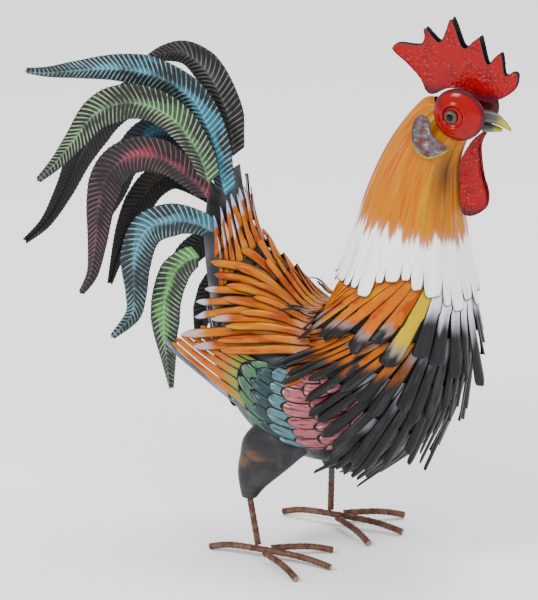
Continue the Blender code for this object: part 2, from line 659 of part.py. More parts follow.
torso_hull("torso")
tail_root()
neck()
breast_collars()
saddle_collars()
tail_collars()
rump_skirt()
for name, line, reach, width in SICKLES:
    sickle(name, line, reach, width)
head()
beak_half("upper_beak", UPPER_BEAK)
beak_half("lower_beak", LOWER_BEAK)
seat = torso_skin()
for word, side, forward in (("right", -1, -FOOT_X), ("left", 1, FOOT_X)):
    wing(f"{word}_wing", side)
    outline_sheet(f"{word}_comb_half", COMB, comb_place, RED, side)
    outline_sheet(f"{word}_wattle", WATTLE, lambda x, z: WATTLE_Y, RED, side)
    outline_sheet(f"{word}_ear_lobe", EAR_LOBE, lambda x, z: EAR_Y + EAR_LEAN * (EAR_TOP - z), GREY, side)
    face_disc(f"{word}_face", side)
    eye(f"{word}_eye", side)
    leg(word, side, forward, SHANK_LEAN[word], seat)

stand = bpy.data.objects.new("stand", None)
bpy.context.scene.collection.objects.link(stand)
bpy.context.view_layer.update()
evaluated = bpy.context.evaluated_depsgraph_get()
pieces = [made for made in bpy.context.scene.objects if made != stand]
ends = []
for made in pieces:
    if not made.hide_render:
        finished = made.evaluated_get(evaluated)
        ends += [corner.co.x for corner in finished.to_mesh().vertices]
        finished.to_mesh_clear()
for made in pieces:
    made.parent = stand
stand.location.x = -(min(ends) + max(ends)) / 2
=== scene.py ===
"""The dressed metal rooster: painted feathers of cut sheet, a hammered comb and legs of ribbed bar."""

import math
import random

import bpy
import numpy as np
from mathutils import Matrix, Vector, noise


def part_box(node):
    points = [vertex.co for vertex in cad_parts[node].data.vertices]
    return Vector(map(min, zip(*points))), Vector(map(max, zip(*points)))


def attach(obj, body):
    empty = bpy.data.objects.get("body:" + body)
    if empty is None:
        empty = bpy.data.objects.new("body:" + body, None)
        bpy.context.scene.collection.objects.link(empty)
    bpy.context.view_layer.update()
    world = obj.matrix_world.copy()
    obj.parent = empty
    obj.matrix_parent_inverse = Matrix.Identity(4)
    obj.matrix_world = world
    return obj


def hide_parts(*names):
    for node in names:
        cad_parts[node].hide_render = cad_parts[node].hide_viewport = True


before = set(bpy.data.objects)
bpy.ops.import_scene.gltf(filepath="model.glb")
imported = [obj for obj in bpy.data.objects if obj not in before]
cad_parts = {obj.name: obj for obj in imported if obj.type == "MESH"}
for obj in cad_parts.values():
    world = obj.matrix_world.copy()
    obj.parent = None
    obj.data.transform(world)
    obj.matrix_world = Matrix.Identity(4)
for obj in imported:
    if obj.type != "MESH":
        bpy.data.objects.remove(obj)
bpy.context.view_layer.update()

# Where the statue stands
# It stands on its toes on a plain pale floor. Sizes are in metres from the point midway between the feet,
# with the beak towards +X, and that point is found from the ball of the skull.
SKULL = Vector((0.1765, 0.0, 0.4815))
skull_low, skull_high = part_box("head")
FEET = Vector(((skull_low.x + skull_high.x) / 2 - SKULL.x, 0.0, 0.0))
AIM = FEET + Vector((-0.0285, 0.0, 0.2538))
AZIMUTH = math.radians(25)
ELEVATION = math.radians(20)
DISTANCE = 8.0
VIEW_HEIGHT = 0.60
WHITE = (1.0, 1.0, 1.0, 1.0)

towards_camera = Vector((math.sin(AZIMUTH) * math.cos(ELEVATION), -math.cos(AZIMUTH) * math.cos(ELEVATION),
                         math.sin(ELEVATION)))
camera = bpy.data.objects.new("camera", bpy.data.cameras.new("camera"))
bpy.context.scene.collection.objects.link(camera)
camera.location = AIM + towards_camera * DISTANCE
camera.rotation_euler = towards_camera.to_track_quat("Z", "Y").to_euler()
camera.data.lens = camera.data.sensor_width * DISTANCE / VIEW_HEIGHT
bpy.context.scene.camera = camera

world = bpy.data.worlds.new("studio")
world.use_nodes = True
sky = world.node_tree.nodes["Background"]
sky.inputs["Color"].default_value = WHITE
sky.inputs["Strength"].default_value = 1.05
bpy.context.scene.world = world

# Soft lamps: where each hangs, the width of its face, and its power in watts
for lamp_name, place, width, power in (("key_lamp", (-1.3, -2.6, 2.6), 1.2, 125.0),
                                       ("front_lamp", (2.4, -1.6, 1.6), 1.0, 45.0),
                                       ("top_lamp", (0.2, 0.8, 2.8), 1.4, 60.0)):
    lamp = bpy.data.objects.new(lamp_name, bpy.data.lights.new(lamp_name, "AREA"))
    lamp.data.size = width
    lamp.data.energy = power
    lamp.location = AIM + Vector(place)
    lamp.rotation_euler = Vector(place).to_track_quat("Z", "Y").to_euler()
    bpy.context.scene.collection.objects.link(lamp)

FLOOR_HALF = 6.0
FLOOR_CORNERS = [(FLOOR_HALF * x, FLOOR_HALF * y, 0) for x, y in ((-1, -1), (1, -1), (1, 1), (-1, 1))]
floor_mesh = bpy.data.meshes.new("floor")
floor_mesh.from_pydata(FLOOR_CORNERS, [], [(0, 1, 2, 3)])
floor = bpy.data.objects.new("floor", floor_mesh)
bpy.context.scene.collection.objects.link(floor)
floor_finish = bpy.data.materials.new("floor_paint")
floor_finish.use_nodes = True
floor_shader = floor_finish.node_tree.nodes["Principled BSDF"]
floor_shader.inputs["Base Color"].default_value = (0.95, 0.95, 0.95, 1.0)
floor_shader.inputs["Roughness"].default_value = 0.9
floor_mesh.materials.append(floor_finish)


# Torso and tail root
# The body is a formed shell, closed by its feathers, and a narrow upright root behind it carries the tail.
# Both have satin grey paint that shows between the feathers; the tail root is welded on behind the body.

# Light that a white surface of the statue sends back, and the most that a paint reflects
BRIGHTNESS = 2.4
WHITEST = 0.9
# The finished view's tone curve: its middle and steepness, and how it dims and pales a pure colour
CURVE_MIDDLE = 1.22
CURVE_SLOPE = 0.57
DIMMING = 0.85
PALING = 0.04


def tint(red, green, blue):
    """The share of light that a paint reflects, from its colour in the finished view, 0 to 255."""
    odds = [math.log(c / (256 - c)) for c in (red + 1, green + 1, blue + 1)]
    light = [2 ** ((c - CURVE_MIDDLE) / CURVE_SLOPE) for c in odds]
    pure = 1 - min(light) / max(light)
    light = [c / (1 + DIMMING * c * pure) for c in light]
    spill = PALING * max(light) * pure
    return (*(min(WHITEST, max(0.0, c - spill) / BRIGHTNESS) for c in light), 1.0)


class Paint:
    """A paint: a ground colour, then further coats, each brushed over it where a value is high.

    A value is a mottling made by noise, or the name of one of the four that the metalwork carries.
    """

    def __init__(self, name, ground, roughness=0.4, metallic=0.0, lacquer=0.0):
        self.material = bpy.data.materials.new(name)
        self.material.use_nodes = True
        self.tree = self.material.node_tree
        self.shader = self.tree.nodes["Principled BSDF"]
        self.ground = tint(*ground)
        self.height = None
        for socket, setting in (("Base Color", self.ground), ("Roughness", roughness), ("Metallic", metallic),
                                ("Coat Weight", lacquer), ("Coat Roughness", 0.12),
                                ("Specular IOR Level", 0.13)):
            self.shader.inputs[socket].default_value = setting

    def put(self, kind, values=(), **settings):
        """A node with its settings; a value that is a socket is linked, any other is set."""
        made = self.tree.nodes.new(kind)
        for key, setting in settings.items():
            setattr(made, key, setting)
        for key, value in dict(values).items():
            if isinstance(value, bpy.types.NodeSocket):
                self.tree.links.new(value, made.inputs[key])
            else:
                made.inputs[key].default_value = value
        return made

    def carried(self, name):
        return self.put("ShaderNodeAttribute", attribute_name=name, attribute_type="GEOMETRY").outputs

    def read(self, value):
        """The socket of a value; lay, edge, tone and relief are read from the metalwork."""
        if not isinstance(value, str):
            return value
        if value == "relief":
            return self.carried("coat")["Alpha"]
        parts = self.put("ShaderNodeSeparateColor", {"Color": self.carried("coat")["Color"]})
        return parts.outputs[("lay", "edge", "tone").index(value)]

    def noise(self, scale, stretch=(1, 1, 1), detail=3.0, space="lie", distort=0.0):
        """Even mottling; in the space lie it follows the piece's own length, width and number."""
        if space == "lie":
            place = self.carried("lie")["Vector"]
        else:
            place = self.put("ShaderNodeTexCoord").outputs["Object"]
        moved = self.put("ShaderNodeVectorMath", {0: place, 1: stretch}, operation="MULTIPLY").outputs[0]
        look = {"Vector": moved, "Scale": scale, "Detail": detail, "Distortion": distort}
        return self.put("ShaderNodeTexNoise", look).outputs[0]

    def ramp(self, value, low, high, most=1.0, least=0.0):
        """least where the value is at low and most where it is at high, with a soft step between."""
        spans = {"Value": self.read(value), "From Min": low, "From Max": high, "To Min": least, "To Max": most}
        return self.put("ShaderNodeMapRange", spans, interpolation_type="SMOOTHSTEP").outputs[0]

    def sum(self, a, b, share=1.0):
        """A value and a share of another."""
        parts = {0: self.read(b), 1: share, 2: self.read(a)}
        return self.put("ShaderNodeMath", parts, operation="MULTIPLY_ADD").outputs[0]

    def times(self, a, b):
        return self.put("ShaderNodeMath", {0: self.read(a), 1: self.read(b)}, operation="MULTIPLY").outputs[0]

    def over(self, colour, value, low, high, most=1.0, least=0.0, within=None):
        """Brushes a coat over what is there, which covers as ramp says, and only within a second value."""
        cover = self.ramp(value, low, high, most, least)
        if within is not None:
            cover = self.times(within, cover)
        coat = self.put("ShaderNodeMix", {0: cover, 6: self.ground, 7: tint(*colour)}, data_type="RGBA")
        self.ground = coat.outputs[2]
        self.tree.links.new(self.ground, self.shader.inputs["Base Color"])
        return self

    def gloss(self, value, low, high):
        """Roughness that follows a value."""
        self.tree.links.new(self.ramp(value, 0.3, 0.7, high, low), self.shader.inputs["Roughness"])
        return self

    def dent(self, value, depth):
        """Small relief of the surface, depth metres high where the value goes from 0 to 1."""
        bump = self.put("ShaderNodeBump", {"Height": value, "Distance": depth, "Strength": 1.0})
        if self.height is not None:
            self.tree.links.new(self.height, bump.inputs["Normal"])
        self.height = bump.outputs[0]
        self.tree.links.new(self.height, self.shader.inputs["Normal"])
        return self


class Metalwork:
    """Points and faces of one piece, and what its paint reads at each point.

    coat is (lay, edge, tone, relief): how far along the piece, how near its edge, the piece's own shade and
    the raised detail. lie is (length, width, number), the place on the piece that brush marks follow.
    """

    def __init__(self):
        self.points, self.coats, self.lies, self.faces = [], [], [], []

    def add(self, point, coat, lie):
        """A point, measured from between the feet; gives its number."""
        self.points.append(FEET + point)
        self.coats.append(coat)
        self.lies.append(lie)
        return len(self.points) - 1

    def patch(self, rows, wrap=False):
        """A net of rows of (point, coat, lie); wrap joins each row's end to its start."""
        first, wide = len(self.points), len(rows[0])
        for row in rows:
            for spot in row:
                self.add(*spot)
        for i in range(len(rows) - 1):
            for j in range(wide if wrap else wide - 1):
                a, b = first + i * wide + j, first + i * wide + (j + 1) % wide
                self.faces.append((a, a + wide, b + wide, b))
        return first

    def tube(self, rows, domes=(0.0, 0.0)):
        """A closed body through rings, each end closed on a point that stands out by its dome."""
        wide = len(rows[0])
        first = self.patch(rows, wrap=True)
        for end, inward, dome in ((0, 1, domes[0]), (len(rows) - 1, len(rows) - 2, domes[1])):
            centre, inner = (sum((p for p, _, _ in rows[k]), Vector()) / wide for k in (end, inward))
            way = (centre - inner).normalized() if (centre - inner).length > 1e-9 else Vector()
            _, coat, lie = rows[end][0]
            last = self.add(centre + way * dome, coat, lie)
            for j in range(wide):
                a, b = first + end * wide + j, first + end * wide + (j + 1) % wide
                self.faces.append((last, a, b) if end == 0 else (last, b, a))

    def piece(self, name, slot, paints, nodes, gauge=0.0, offset=-1.0):
        """The finished piece: its mesh, paint and gauge, and the solids that it stands for."""
        made = bpy.data.meshes.new(name)
        made.from_pydata([tuple(p) for p in self.points], [], self.faces)
        coat = made.attributes.new("coat", "FLOAT_COLOR", "POINT")
        coat.data.foreach_set("color", np.array(self.coats, np.float32).ravel())
        lie = made.attributes.new("lie", "FLOAT_VECTOR", "POINT")
        lie.data.foreach_set("vector", np.array(self.lies, np.float32).ravel())
        for paint in paints:
            made.materials.append(paint.material)
        made.shade_smooth()
        thing = bpy.data.objects.new(name, made)
        bpy.context.scene.collection.objects.link(thing)
        if gauge:
            thick = thing.modifiers.new("gauge", "SOLIDIFY")
            thick.thickness = gauge
            thick.offset = offset
            thick.use_even_offset = False
            thick.material_offset = len(paints) - 1
            thick.material_offset_rim = len(paints) - 1
        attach(thing, "root")
        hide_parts(*nodes)
        return thing


def circle(count):
    """Angles of count points round a full circle."""
    return [2 * math.pi * j / count for j in range(count)]


def mixed(a, b, t):
    return a + (b - a) * t


def smooth(t):
    t = min(max(t, 0.0), 1.0)
    return t * t * (3 - 2 * t)


def catmull(values, t):
    """Smooth value at t, counted in list steps, through a list of equal-length tuples."""
    last = len(values) - 1
    t = min(max(t, 0.0), float(last))
    i = min(int(t), last - 1)
    f = t - i
    a, b = values[max(i - 1, 0)], values[i]
    c, d = values[i + 1], values[min(i + 2, last)]
    return tuple(
        0.5 * (2 * q + (r - p) * f + (2 * p - 5 * q + 4 * r - s) * f * f + (3 * q - p - 3 * r + s) * f**3)
        for p, q, r, s in zip(a, b, c, d)
    )


# Stations of the torso from the neck round to the tail: back x, z; breast or belly x, z; half width
TORSO = (
    (0.067, 0.329, 0.1795, 0.334, 0.0565), (0.050, 0.268, 0.186, 0.272, 0.068),
    (0.045, 0.259, 0.1825, 0.219, 0.074), (0.037, 0.256, 0.157, 0.155, 0.078),
    (0.031, 0.255, 0.110, 0.113, 0.079), (0.019, 0.256, 0.045, 0.098, 0.077),
    (0.001, 0.268, -0.019, 0.110, 0.070), (-0.017, 0.285, -0.067, 0.157, 0.056),
    (-0.037, 0.309, -0.081, 0.221, 0.040), (-0.049, 0.334, -0.093, 0.264, 0.026),
    (-0.057, 0.365, -0.099, 0.313, 0.016), (-0.061, 0.393, -0.095, 0.359, 0.011),
)
TORSO_END = 7.7
TAIL_ROOT_GAP = 0.03
TAIL_ROOT_TOP = 11.0
BODY_SIDES = 48


def hull_point(stations, s, phi):
    """Point of a body at station s and angle phi: 0 at the breast, 180 degrees at the back, left positive."""
    back_x, back_z, front_x, front_z, width = catmull(stations, s)
    ahead = math.cos(math.radians(phi))
    return Vector(((back_x + front_x) / 2 + ahead * (front_x - back_x) / 2, width * math.sin(math.radians(phi)),
                   (back_z + front_z) / 2 + ahead * (front_z - back_z) / 2))


def hull_frame(stations, s, phi):
    """Point, change per station, change per degree, and outward normal."""
    low, high = max(s - 0.02, 0.0), min(s + 0.02, len(stations) - 1.0)
    along = (hull_point(stations, high, phi) - hull_point(stations, low, phi)) / (high - low)
    around = (hull_point(stations, s, phi + 1) - hull_point(stations, s, phi - 1)) / 2
    return hull_point(stations, s, phi), along, around, along.cross(around).normalized()


def on_torso(s, phi, height=0.0):
    point, _, _, normal = hull_frame(TORSO, s, phi)
    return point + normal * height


grey_paint = Paint("grey_paint", (88, 90, 95), 0.42, 0.25)
cloud = grey_paint.noise(34, detail=5.0, space="object")
grey_paint.over((52, 54, 58), cloud, 0.42, 0.62)
streak = grey_paint.noise(60, (1, 1, 0.15), space="object")
grey_paint.over((128, 130, 136), streak, 0.58, 0.78, 0.7)
grey_paint.gloss(cloud, 0.34, 0.55).dent(grey_paint.noise(420, space="object"), 0.0002)

# Each body's name, first and last station, number of rings and how far its end is domed
BODIES = (("torso", 0.0, TORSO_END, 40, 0.0),
          ("tail_root", TORSO_END + TAIL_ROOT_GAP, TAIL_ROOT_TOP, 20, 0.004))

for body_name, first_s, last_s, steps, dome in BODIES:
    body_shell = Metalwork()
    rings = []
    for k in range(steps + 1):
        station = mixed(first_s, last_s, k / steps)
        coat = (k / steps, 0.0, 0.5, 0.0)
        rings.append([(on_torso(station, 360 * j / BODY_SIDES), coat, (station / 20, j / BODY_SIDES, 0.0))
                      for j in range(BODY_SIDES)])
    body_shell.tube(rings, (0.0, dome))
    body_shell.piece(f"{body_name}_shell", "body_paint", [grey_paint], [body_name])


# Breast feathers
# Four collars of black strips with rounded ends, one above another from the shoulders down to the legs.
# Each collar is one steel sheet, cut into fingers below a narrow band, each finger rolled hollow and bent by
# hand, and the band is welded to the body under the collar above.
STRIDE = 0.004
# Thickness of the sheet in the solids and in the dressed model, and a collar's height off the body
SHEET = 0.0012
GAUGE = 0.0007
COLLAR_LIFT = 0.0018


def walk(s, phi, direction, reach, leaves=1.0):
    """Points and normals, STRIDE apart, of a line laid on the torso; past leaves it runs on straight."""
    heading = Vector(direction).normalized()
    point, along, around, normal = hull_frame(TORSO, s, phi)
    made = [(point, normal)]
    for k in range(math.ceil(reach / STRIDE) + 1):
        if k * STRIDE < leaves:
            tangent = (heading - normal * heading.dot(normal)).normalized()
            aa, ab, bb = along.dot(along), along.dot(around), around.dot(around)
            ta, tb = tangent.dot(along), tangent.dot(around)
            spread = max(aa * bb - ab * ab, 1e-16)
            s = min(s + STRIDE * (ta * bb - tb * ab) / spread, len(TORSO) - 1.001)
            phi += STRIDE * (tb * aa - ta * ab) / spread
            point, along, around, normal = hull_frame(TORSO, s, phi)
        else:
            point = point + tangent * STRIDE
        made.append((point, normal))
    return made


def on_line(line, distance):
    """Point and normal of a walked line at a distance along it."""
    place = min(distance / STRIDE, len(line) - 1.001)
    i = int(place)
    (a, normal_a), (b, normal_b) = line[i], line[i + 1]
    return a.lerp(b, place - i), normal_a.lerp(normal_b, place - i).normalized()


def rounded(t, start):
    """Share of a finger's width left at share t of its length, its end rounding off from start."""
    return math.sqrt(max(0.0, 1 - (max(0.0, t - start) / (1 - start)) ** 2))


# A finger's points from side to side, its rows, and the share of its place that it fills
ACROSS = (-1.0, -0.78, -0.42, 0.0, 0.42, 0.78, 1.0)
BAND_ROWS = 3
FINGER_ROWS = 13
FINGER_FILL = 0.94


def fringe(sheet, seed, station, span, count, band, reach, heading, lift=COLLAR_LIFT, slope=0.115,
           taper=0.2, start=0.86, cup=0.16, loose=1.0, leaves=lambda phi: 1.0, stain=lambda phi: 0.0):
    """A collar on the torso: a band, and below it count fingers, each rolled hollow, that rise to their tips.

    span is the range of phi that it covers. band, reach, heading, leaves and stain give at phi the depth of
    the band, a finger's length and way, where it parts from the body, and its stain. lift is the collar's
    height at its root and slope its rise. A finger narrows by taper, rounds off from start, is rolled hollow
    by cup, a share of its width, and is bent by hand more or less as loose says.
    """
    dice = random.Random(seed)
    edges = [mixed(*span, j / count) for j in range(count + 1)]
    lines = [walk(station, phi, heading(phi), reach(phi) * 1.25, leaves(phi)) for phi in edges]
    for j in range(count):
        middle = (edges[j] + edges[j + 1]) / 2
        root = band(middle)
        length = max(root + 0.01, reach(middle) * (1 + loose * 0.32 * (dice.random() - 0.5)))
        sway = loose * 0.5 * (dice.random() - 0.5)
        rise = loose * 0.035 * (dice.random() - 0.3)
        twist = loose * 0.35 * (dice.random() - 0.5)
        tone = dice.random()
        distances = [root * k / BAND_ROWS for k in range(BAND_ROWS)]
        distances += [mixed(root, length, 1 - (1 - k / FINGER_ROWS) ** 1.6) for k in range(FINGER_ROWS + 1)]
        rows = []
        for d in distances:
            t = max(0.0, d - root) / (length - root)
            (a, normal_a), (b, normal_b) = on_line(lines[j], d), on_line(lines[j + 1], d)
            cell = (b - a).length
            free = smooth(t / 0.12)
            half = mixed(1.0, FINGER_FILL, smooth(t / 0.05)) * (1 - taper * t) * max(0.06, rounded(t, start))
            normal = normal_a.lerp(normal_b, 0.5).normalized()
            base = lift + SHEET + slope * d + rise * max(0.0, d - root)
            row = []
            for across in ACROSS:
                share = 0.5 + 0.5 * across * half + sway * t
                out = base - free * cup * cell * across * across + twist * across * cell * t
                coat = (d / length, abs(across), tone, stain(middle))
                lie = (d, across * cell / 2, 3.1 * tone + 0.37 * j)
                row.append((a.lerp(b, share) + normal * out, coat, lie))
            rows.append(row)
        sheet.patch(rows)


def breast_heading(phi):
    side = smooth(abs(phi) / 95)
    return (mixed(-0.30, -0.85, side), 0.0, mixed(-1.0, -0.62, side))


under_paint = Paint("under_paint", (34, 33, 34), 0.5)
under_paint.over((70, 66, 64), under_paint.noise(90), 0.45, 0.7, 0.6)
under_paint.dent(under_paint.noise(500), 0.0001)

black_paint = Paint("black_paint", (38, 38, 40), 0.34, 0.1)
grain = black_paint.noise(90, (0.25, 1.6, 1), detail=5.0)
blot = black_paint.noise(60, (0.5, 1, 1), detail=4.0)
black_paint.over((84, 84, 88), grain, 0.50, 0.70, 0.8)
root_end = black_paint.sum("lay", grain, 0.45)
black_paint.over((168, 170, 176), root_end, 0.60, 0.32, 0.7)
warm = black_paint.times("relief", black_paint.ramp(root_end, 0.86, 0.62))
black_paint.over((226, 136, 30), blot, 0.38, 0.48, within=warm)
# Near-black edges: partly the dark underpaint where an edge curls under, partly painted shade from its
# neighbours
black_paint.over((18, 17, 18), "edge", 0.78, 1.0, 0.9)
black_paint.gloss(grain, 0.26, 0.46).dent(black_paint.noise(300, (0.3, 1, 1)), 0.00025)

BREAST_BAND = 0.016
BREAST_SEED = 12
# Root station, half span, strips and length of each collar
BREAST_COLLARS = ((1.30, 116, 30, 0.092), (2.25, 84, 24, 0.092), (3.15, 66, 19, 0.086), (3.80, 56, 14, 0.064))


def breast_leaves(phi):
    """How far down a strip parts from the body: the rearmost ones stay on the back."""
    return 0.052 if abs(phi) < 95 else 1.0


# The strips of the top collar turn orange at the sides
for i, (root, half_span, count, length) in enumerate(BREAST_COLLARS):
    breast = Metalwork()
    fringe(breast, BREAST_SEED + i, root, (-half_span, half_span), count,
           lambda phi: BREAST_BAND, lambda phi: length,
           breast_heading, taper=0.15, start=0.88, loose=1.3, leaves=breast_leaves,
           stain=lambda phi: smooth((abs(phi) - 44) / 16) if i == 0 else 0.0)
    breast.piece(f"breast_strips_{i + 2}", "breast_feathers", [black_paint, under_paint],
                 [f"breast_collar_{i + 2}"], GAUGE)

# Shoulder cape
# One smooth steel collar slipped under the neck, a deep band cut below into long fingers. At the sides it is
# orange, going to grey and black at the finger ends, with one yellow finger on the right; over the breast it
# starts white and goes black.
CAPE_ROOT = 0.08
CAPE_HALF = 128
CAPE_STRIPS = 33
CAPE_SEED = 11
CAPE_BAND = (0.044, 0.062)
CAPE_REACH = (0.112, 0.140)
YELLOW_FROM = -41.5
YELLOW_TO = -33.7

cape_paint = Paint("cape_paint", (226, 226, 230), 0.32)
streak = cape_paint.noise(70, (0.18, 1.5, 1), detail=4.0)
blot = cape_paint.noise(75, (0.5, 1, 1), detail=5.0)
stained = cape_paint.sum("relief", streak, 0.3)
side = cape_paint.ramp(stained, 0.50, 0.66)
cape_paint.over((240, 148, 18), stained, 0.50, 0.66)
cape_paint.over((206, 88, 18), blot, 0.52, 0.64, 0.85, within=side)
cape_paint.over((244, 190, 36), blot, 0.46, 0.36, 0.85, within=side)
cape_paint.over((246, 222, 30), "relief", 1.3, 1.7, 0.9)
end = cape_paint.sum("lay", streak, 0.35)
cape_paint.over((160, 150, 146), end, 0.88, 0.99, 0.9, within=side)
cape_paint.over((38, 37, 40), end, 0.97, 1.07)
front = cape_paint.ramp(stained, 0.66, 0.50)
cape_paint.over((46, 46, 50), end, 0.50, 0.84, within=front)
# Dark finger edges: partly the dark underpaint where an edge curls under, partly painted shade from its
# neighbours
cape_paint.over((36, 24, 20), "lay", 0.48, 0.62, within=cape_paint.ramp("edge", 0.80, 1.0, 0.9))
cape_paint.gloss(blot, 0.25, 0.42).dent(cape_paint.noise(200, (0.4, 1, 1)), 0.0003)


def cape_band(phi):
    """Depth of the uncut band: the orange sides are smooth for longer than the breast."""
    return mixed(*CAPE_BAND, smooth((abs(phi) - 34) / 12))


def cape_reach(phi):
    """Length of a finger: the ones over the sides run far back over the wings."""
    return mixed(*CAPE_REACH, smooth((abs(phi) - 55) / 30))


def cape_stain(phi):
    """0 over the breast, 1 at the orange sides and 2 on the yellow finger."""
    return smooth((abs(phi) - 32) / 8) + (1.0 if YELLOW_FROM < phi < YELLOW_TO else 0.0)


cape = Metalwork()
fringe(cape, CAPE_SEED, CAPE_ROOT, (-CAPE_HALF, CAPE_HALF), CAPE_STRIPS, cape_band, cape_reach, breast_heading,
       slope=0.07, taper=0.12, start=0.88, loose=1.3, leaves=breast_leaves, stain=cape_stain)
cape.piece("shoulder_cape", "shoulder_feathers", [cape_paint, under_paint], ["breast_collar_1"], GAUGE)

# Saddle feathers
# Three steel collars over the back, of narrow strips that run off the sides of the body towards the tail, each
# welded down along its band. They are orange, mottled red and yellow, and pink where they start; the tips of
# the two rear collars are pale at the sides.
SADDLE_HALF = 52
SADDLE_BAND = 0.016
SADDLE_SEED = 31
SADDLE_SHORTEST = 0.045
# Root station, strips and longest strip of each collar
SADDLE_COLLARS = ((3.90, 16, 0.105), (5.50, 15, 0.105), (6.80, 14, 0.080))
# Short strips that fill in under the cape on each side: seed and range of phi
FILL_STATION = 2.7
FILL_STRIPS = 7
FILL_SPANS = ((41, (104, 146)), (42, (214, 256)))

saddle_paint = Paint("saddle_paint", (238, 150, 20), 0.34)
blot = saddle_paint.noise(85, (0.35, 1, 1), detail=4.0)
streak = saddle_paint.noise(80, (0.15, 1.8, 1), detail=4.0)
lay = saddle_paint.sum("lay", streak, 0.25)
saddle_paint.over((202, 86, 26), blot, 0.52, 0.64, 0.9)
saddle_paint.over((242, 188, 40), blot, 0.46, 0.34, 0.85)
saddle_paint.over((70, 50, 40), streak, 0.60, 0.74, 0.75)
saddle_paint.over((226, 156, 120), lay, 0.40, 0.20, 0.7)
saddle_paint.over((214, 212, 224), lay, 0.84, 0.98, within="relief")
# Dark edges: partly the dark underpaint where an edge curls under, partly painted shade from the strips
# alongside
saddle_paint.over((48, 34, 28), "edge", 0.62, 0.96, 0.9)
saddle_paint.gloss(blot, 0.26, 0.42).dent(saddle_paint.noise(260, (0.4, 1, 1)), 0.0002)


def off_spine(phi):
    """0 on the spine, 1 at the lower end of a saddle collar."""
    return abs(phi - 180) / SADDLE_HALF


def saddle_heading(phi):
    return (-1.0, 0.0, mixed(0.30, -0.30, off_spine(phi)))


for i, (root, count, length) in enumerate(SADDLE_COLLARS):
    saddle = Metalwork()
    fringe(saddle, SADDLE_SEED + i, root, (180 - SADDLE_HALF, 180 + SADDLE_HALF), count, lambda phi: SADDLE_BAND,
           lambda phi: mixed(SADDLE_SHORTEST, length, off_spine(phi)), saddle_heading, slope=0.15, taper=0.45,
           start=0.80, leaves=lambda phi: mixed(0.10, 0.045, off_spine(phi)),
           stain=lambda phi: i * 0.5 * smooth((abs(phi - 180) - 26) / 12))
    if i == 0:
        for seed, span in FILL_SPANS:
            fringe(saddle, seed, FILL_STATION, span, FILL_STRIPS, lambda phi: 0.012, lambda phi: 0.060,
                   saddle_heading, lift=0.0006, slope=0.06, taper=0.3, start=0.80)
    saddle.piece(f"saddle_strips_{i + 1}", "saddle_feathers", [saddle_paint, under_paint],
                 [f"saddle_collar_{i + 1}"], GAUGE)

# Spikes round the foot of the tail
# Two steel collars of pointed strips that stand up round the tail root and are welded to it. Their lower parts
# are orange and their long points white with a lilac cast.
SPIKE_SPAN = (84, 276)
SPIKE_BAND = 0.012
SPIKE_SEED = 51
# Root station, strips and length of each collar
TAIL_COLLARS = ((8.15, 14, 0.052), (9.10, 11, 0.042))

spike_paint = Paint("spike_paint", (238, 146, 20), 0.34)
blot = spike_paint.noise(90, (0.5, 1, 1), detail=4.0)
streak = spike_paint.noise(80, (0.15, 1.8, 1), detail=4.0)
spike_paint.over((202, 86, 26), blot, 0.52, 0.64, 0.9)
spike_paint.over((238, 172, 40), blot, 0.46, 0.34, 0.7)
spike_paint.over((206, 206, 220), spike_paint.sum("lay", streak, 0.4), 0.78, 0.92)
# Dark edges: partly the dark underpaint where an edge curls under, partly painted shade from the spikes
# alongside
spike_paint.over((60, 54, 56), "edge", 0.82, 1.0, 0.7)
spike_paint.gloss(blot, 0.26, 0.42).dent(spike_paint.noise(260, (0.4, 1, 1)), 0.0002)

for i, (root, count, length) in enumerate(TAIL_COLLARS):
    spikes = Metalwork()
    fringe(spikes, SPIKE_SEED + i, root, SPIKE_SPAN, count, lambda phi: SPIKE_BAND, lambda phi: length,
           lambda phi: (-0.25, 0.0, 1.0), slope=0.10, taper=0.55, start=0.45, cup=0.12)
    spikes.piece(f"tail_spikes_{i + 1}", "saddle_feathers", [spike_paint, under_paint],
                 [f"tail_collar_{i + 1}"], GAUGE)

# Rump feathers
# A short skirt of steel strips under the tail, grey with white streaks, that hang along the back of the body.
# It is cut and rolled as the collars are, and welded to the body below the tail.
RUMP_STATION = 6.70
RUMP_HALF = 48
RUMP_STRIPS = 13
RUMP_SEED = 61
RUMP_BAND = 0.028
RUMP_REACH = 0.105

rump_paint = Paint("rump_paint", (138, 140, 148), 0.38, 0.1)
streak = rump_paint.noise(75, (0.15, 1.8, 1), detail=4.0)
rump_paint.over((212, 212, 222), streak, 0.50, 0.62)
rump_paint.over((74, 76, 82), streak, 0.44, 0.34)
# Dark edges: partly the dark underpaint where an edge curls under, partly painted shade from the strips
# alongside
rump_paint.over((40, 40, 44), "edge", 0.84, 1.0, 0.8)
rump_paint.dent(rump_paint.noise(260, (0.4, 1, 1)), 0.0002)

rump = Metalwork()
fringe(rump, RUMP_SEED, RUMP_STATION, (-RUMP_HALF, RUMP_HALF), RUMP_STRIPS, lambda phi: RUMP_BAND,
       lambda phi: RUMP_REACH, lambda phi: (-0.50, 0.0, 0.86), slope=0.03, taper=0.4, start=0.7, cup=0.10,
       loose=0.6)
rump.piece("rump_strips", "rump_feathers", [rump_paint, under_paint], ["rump_skirt"], GAUGE)

# Neck
# A cone of steel sheet, open at both ends and slipped over the shoulders, its lower edge cut into tongues with
# narrow slits between them: long over the breast, short at the sides. Long strokes of yellow, orange and red
# run down it to a broad white band, and there is a brown shade under the beak.

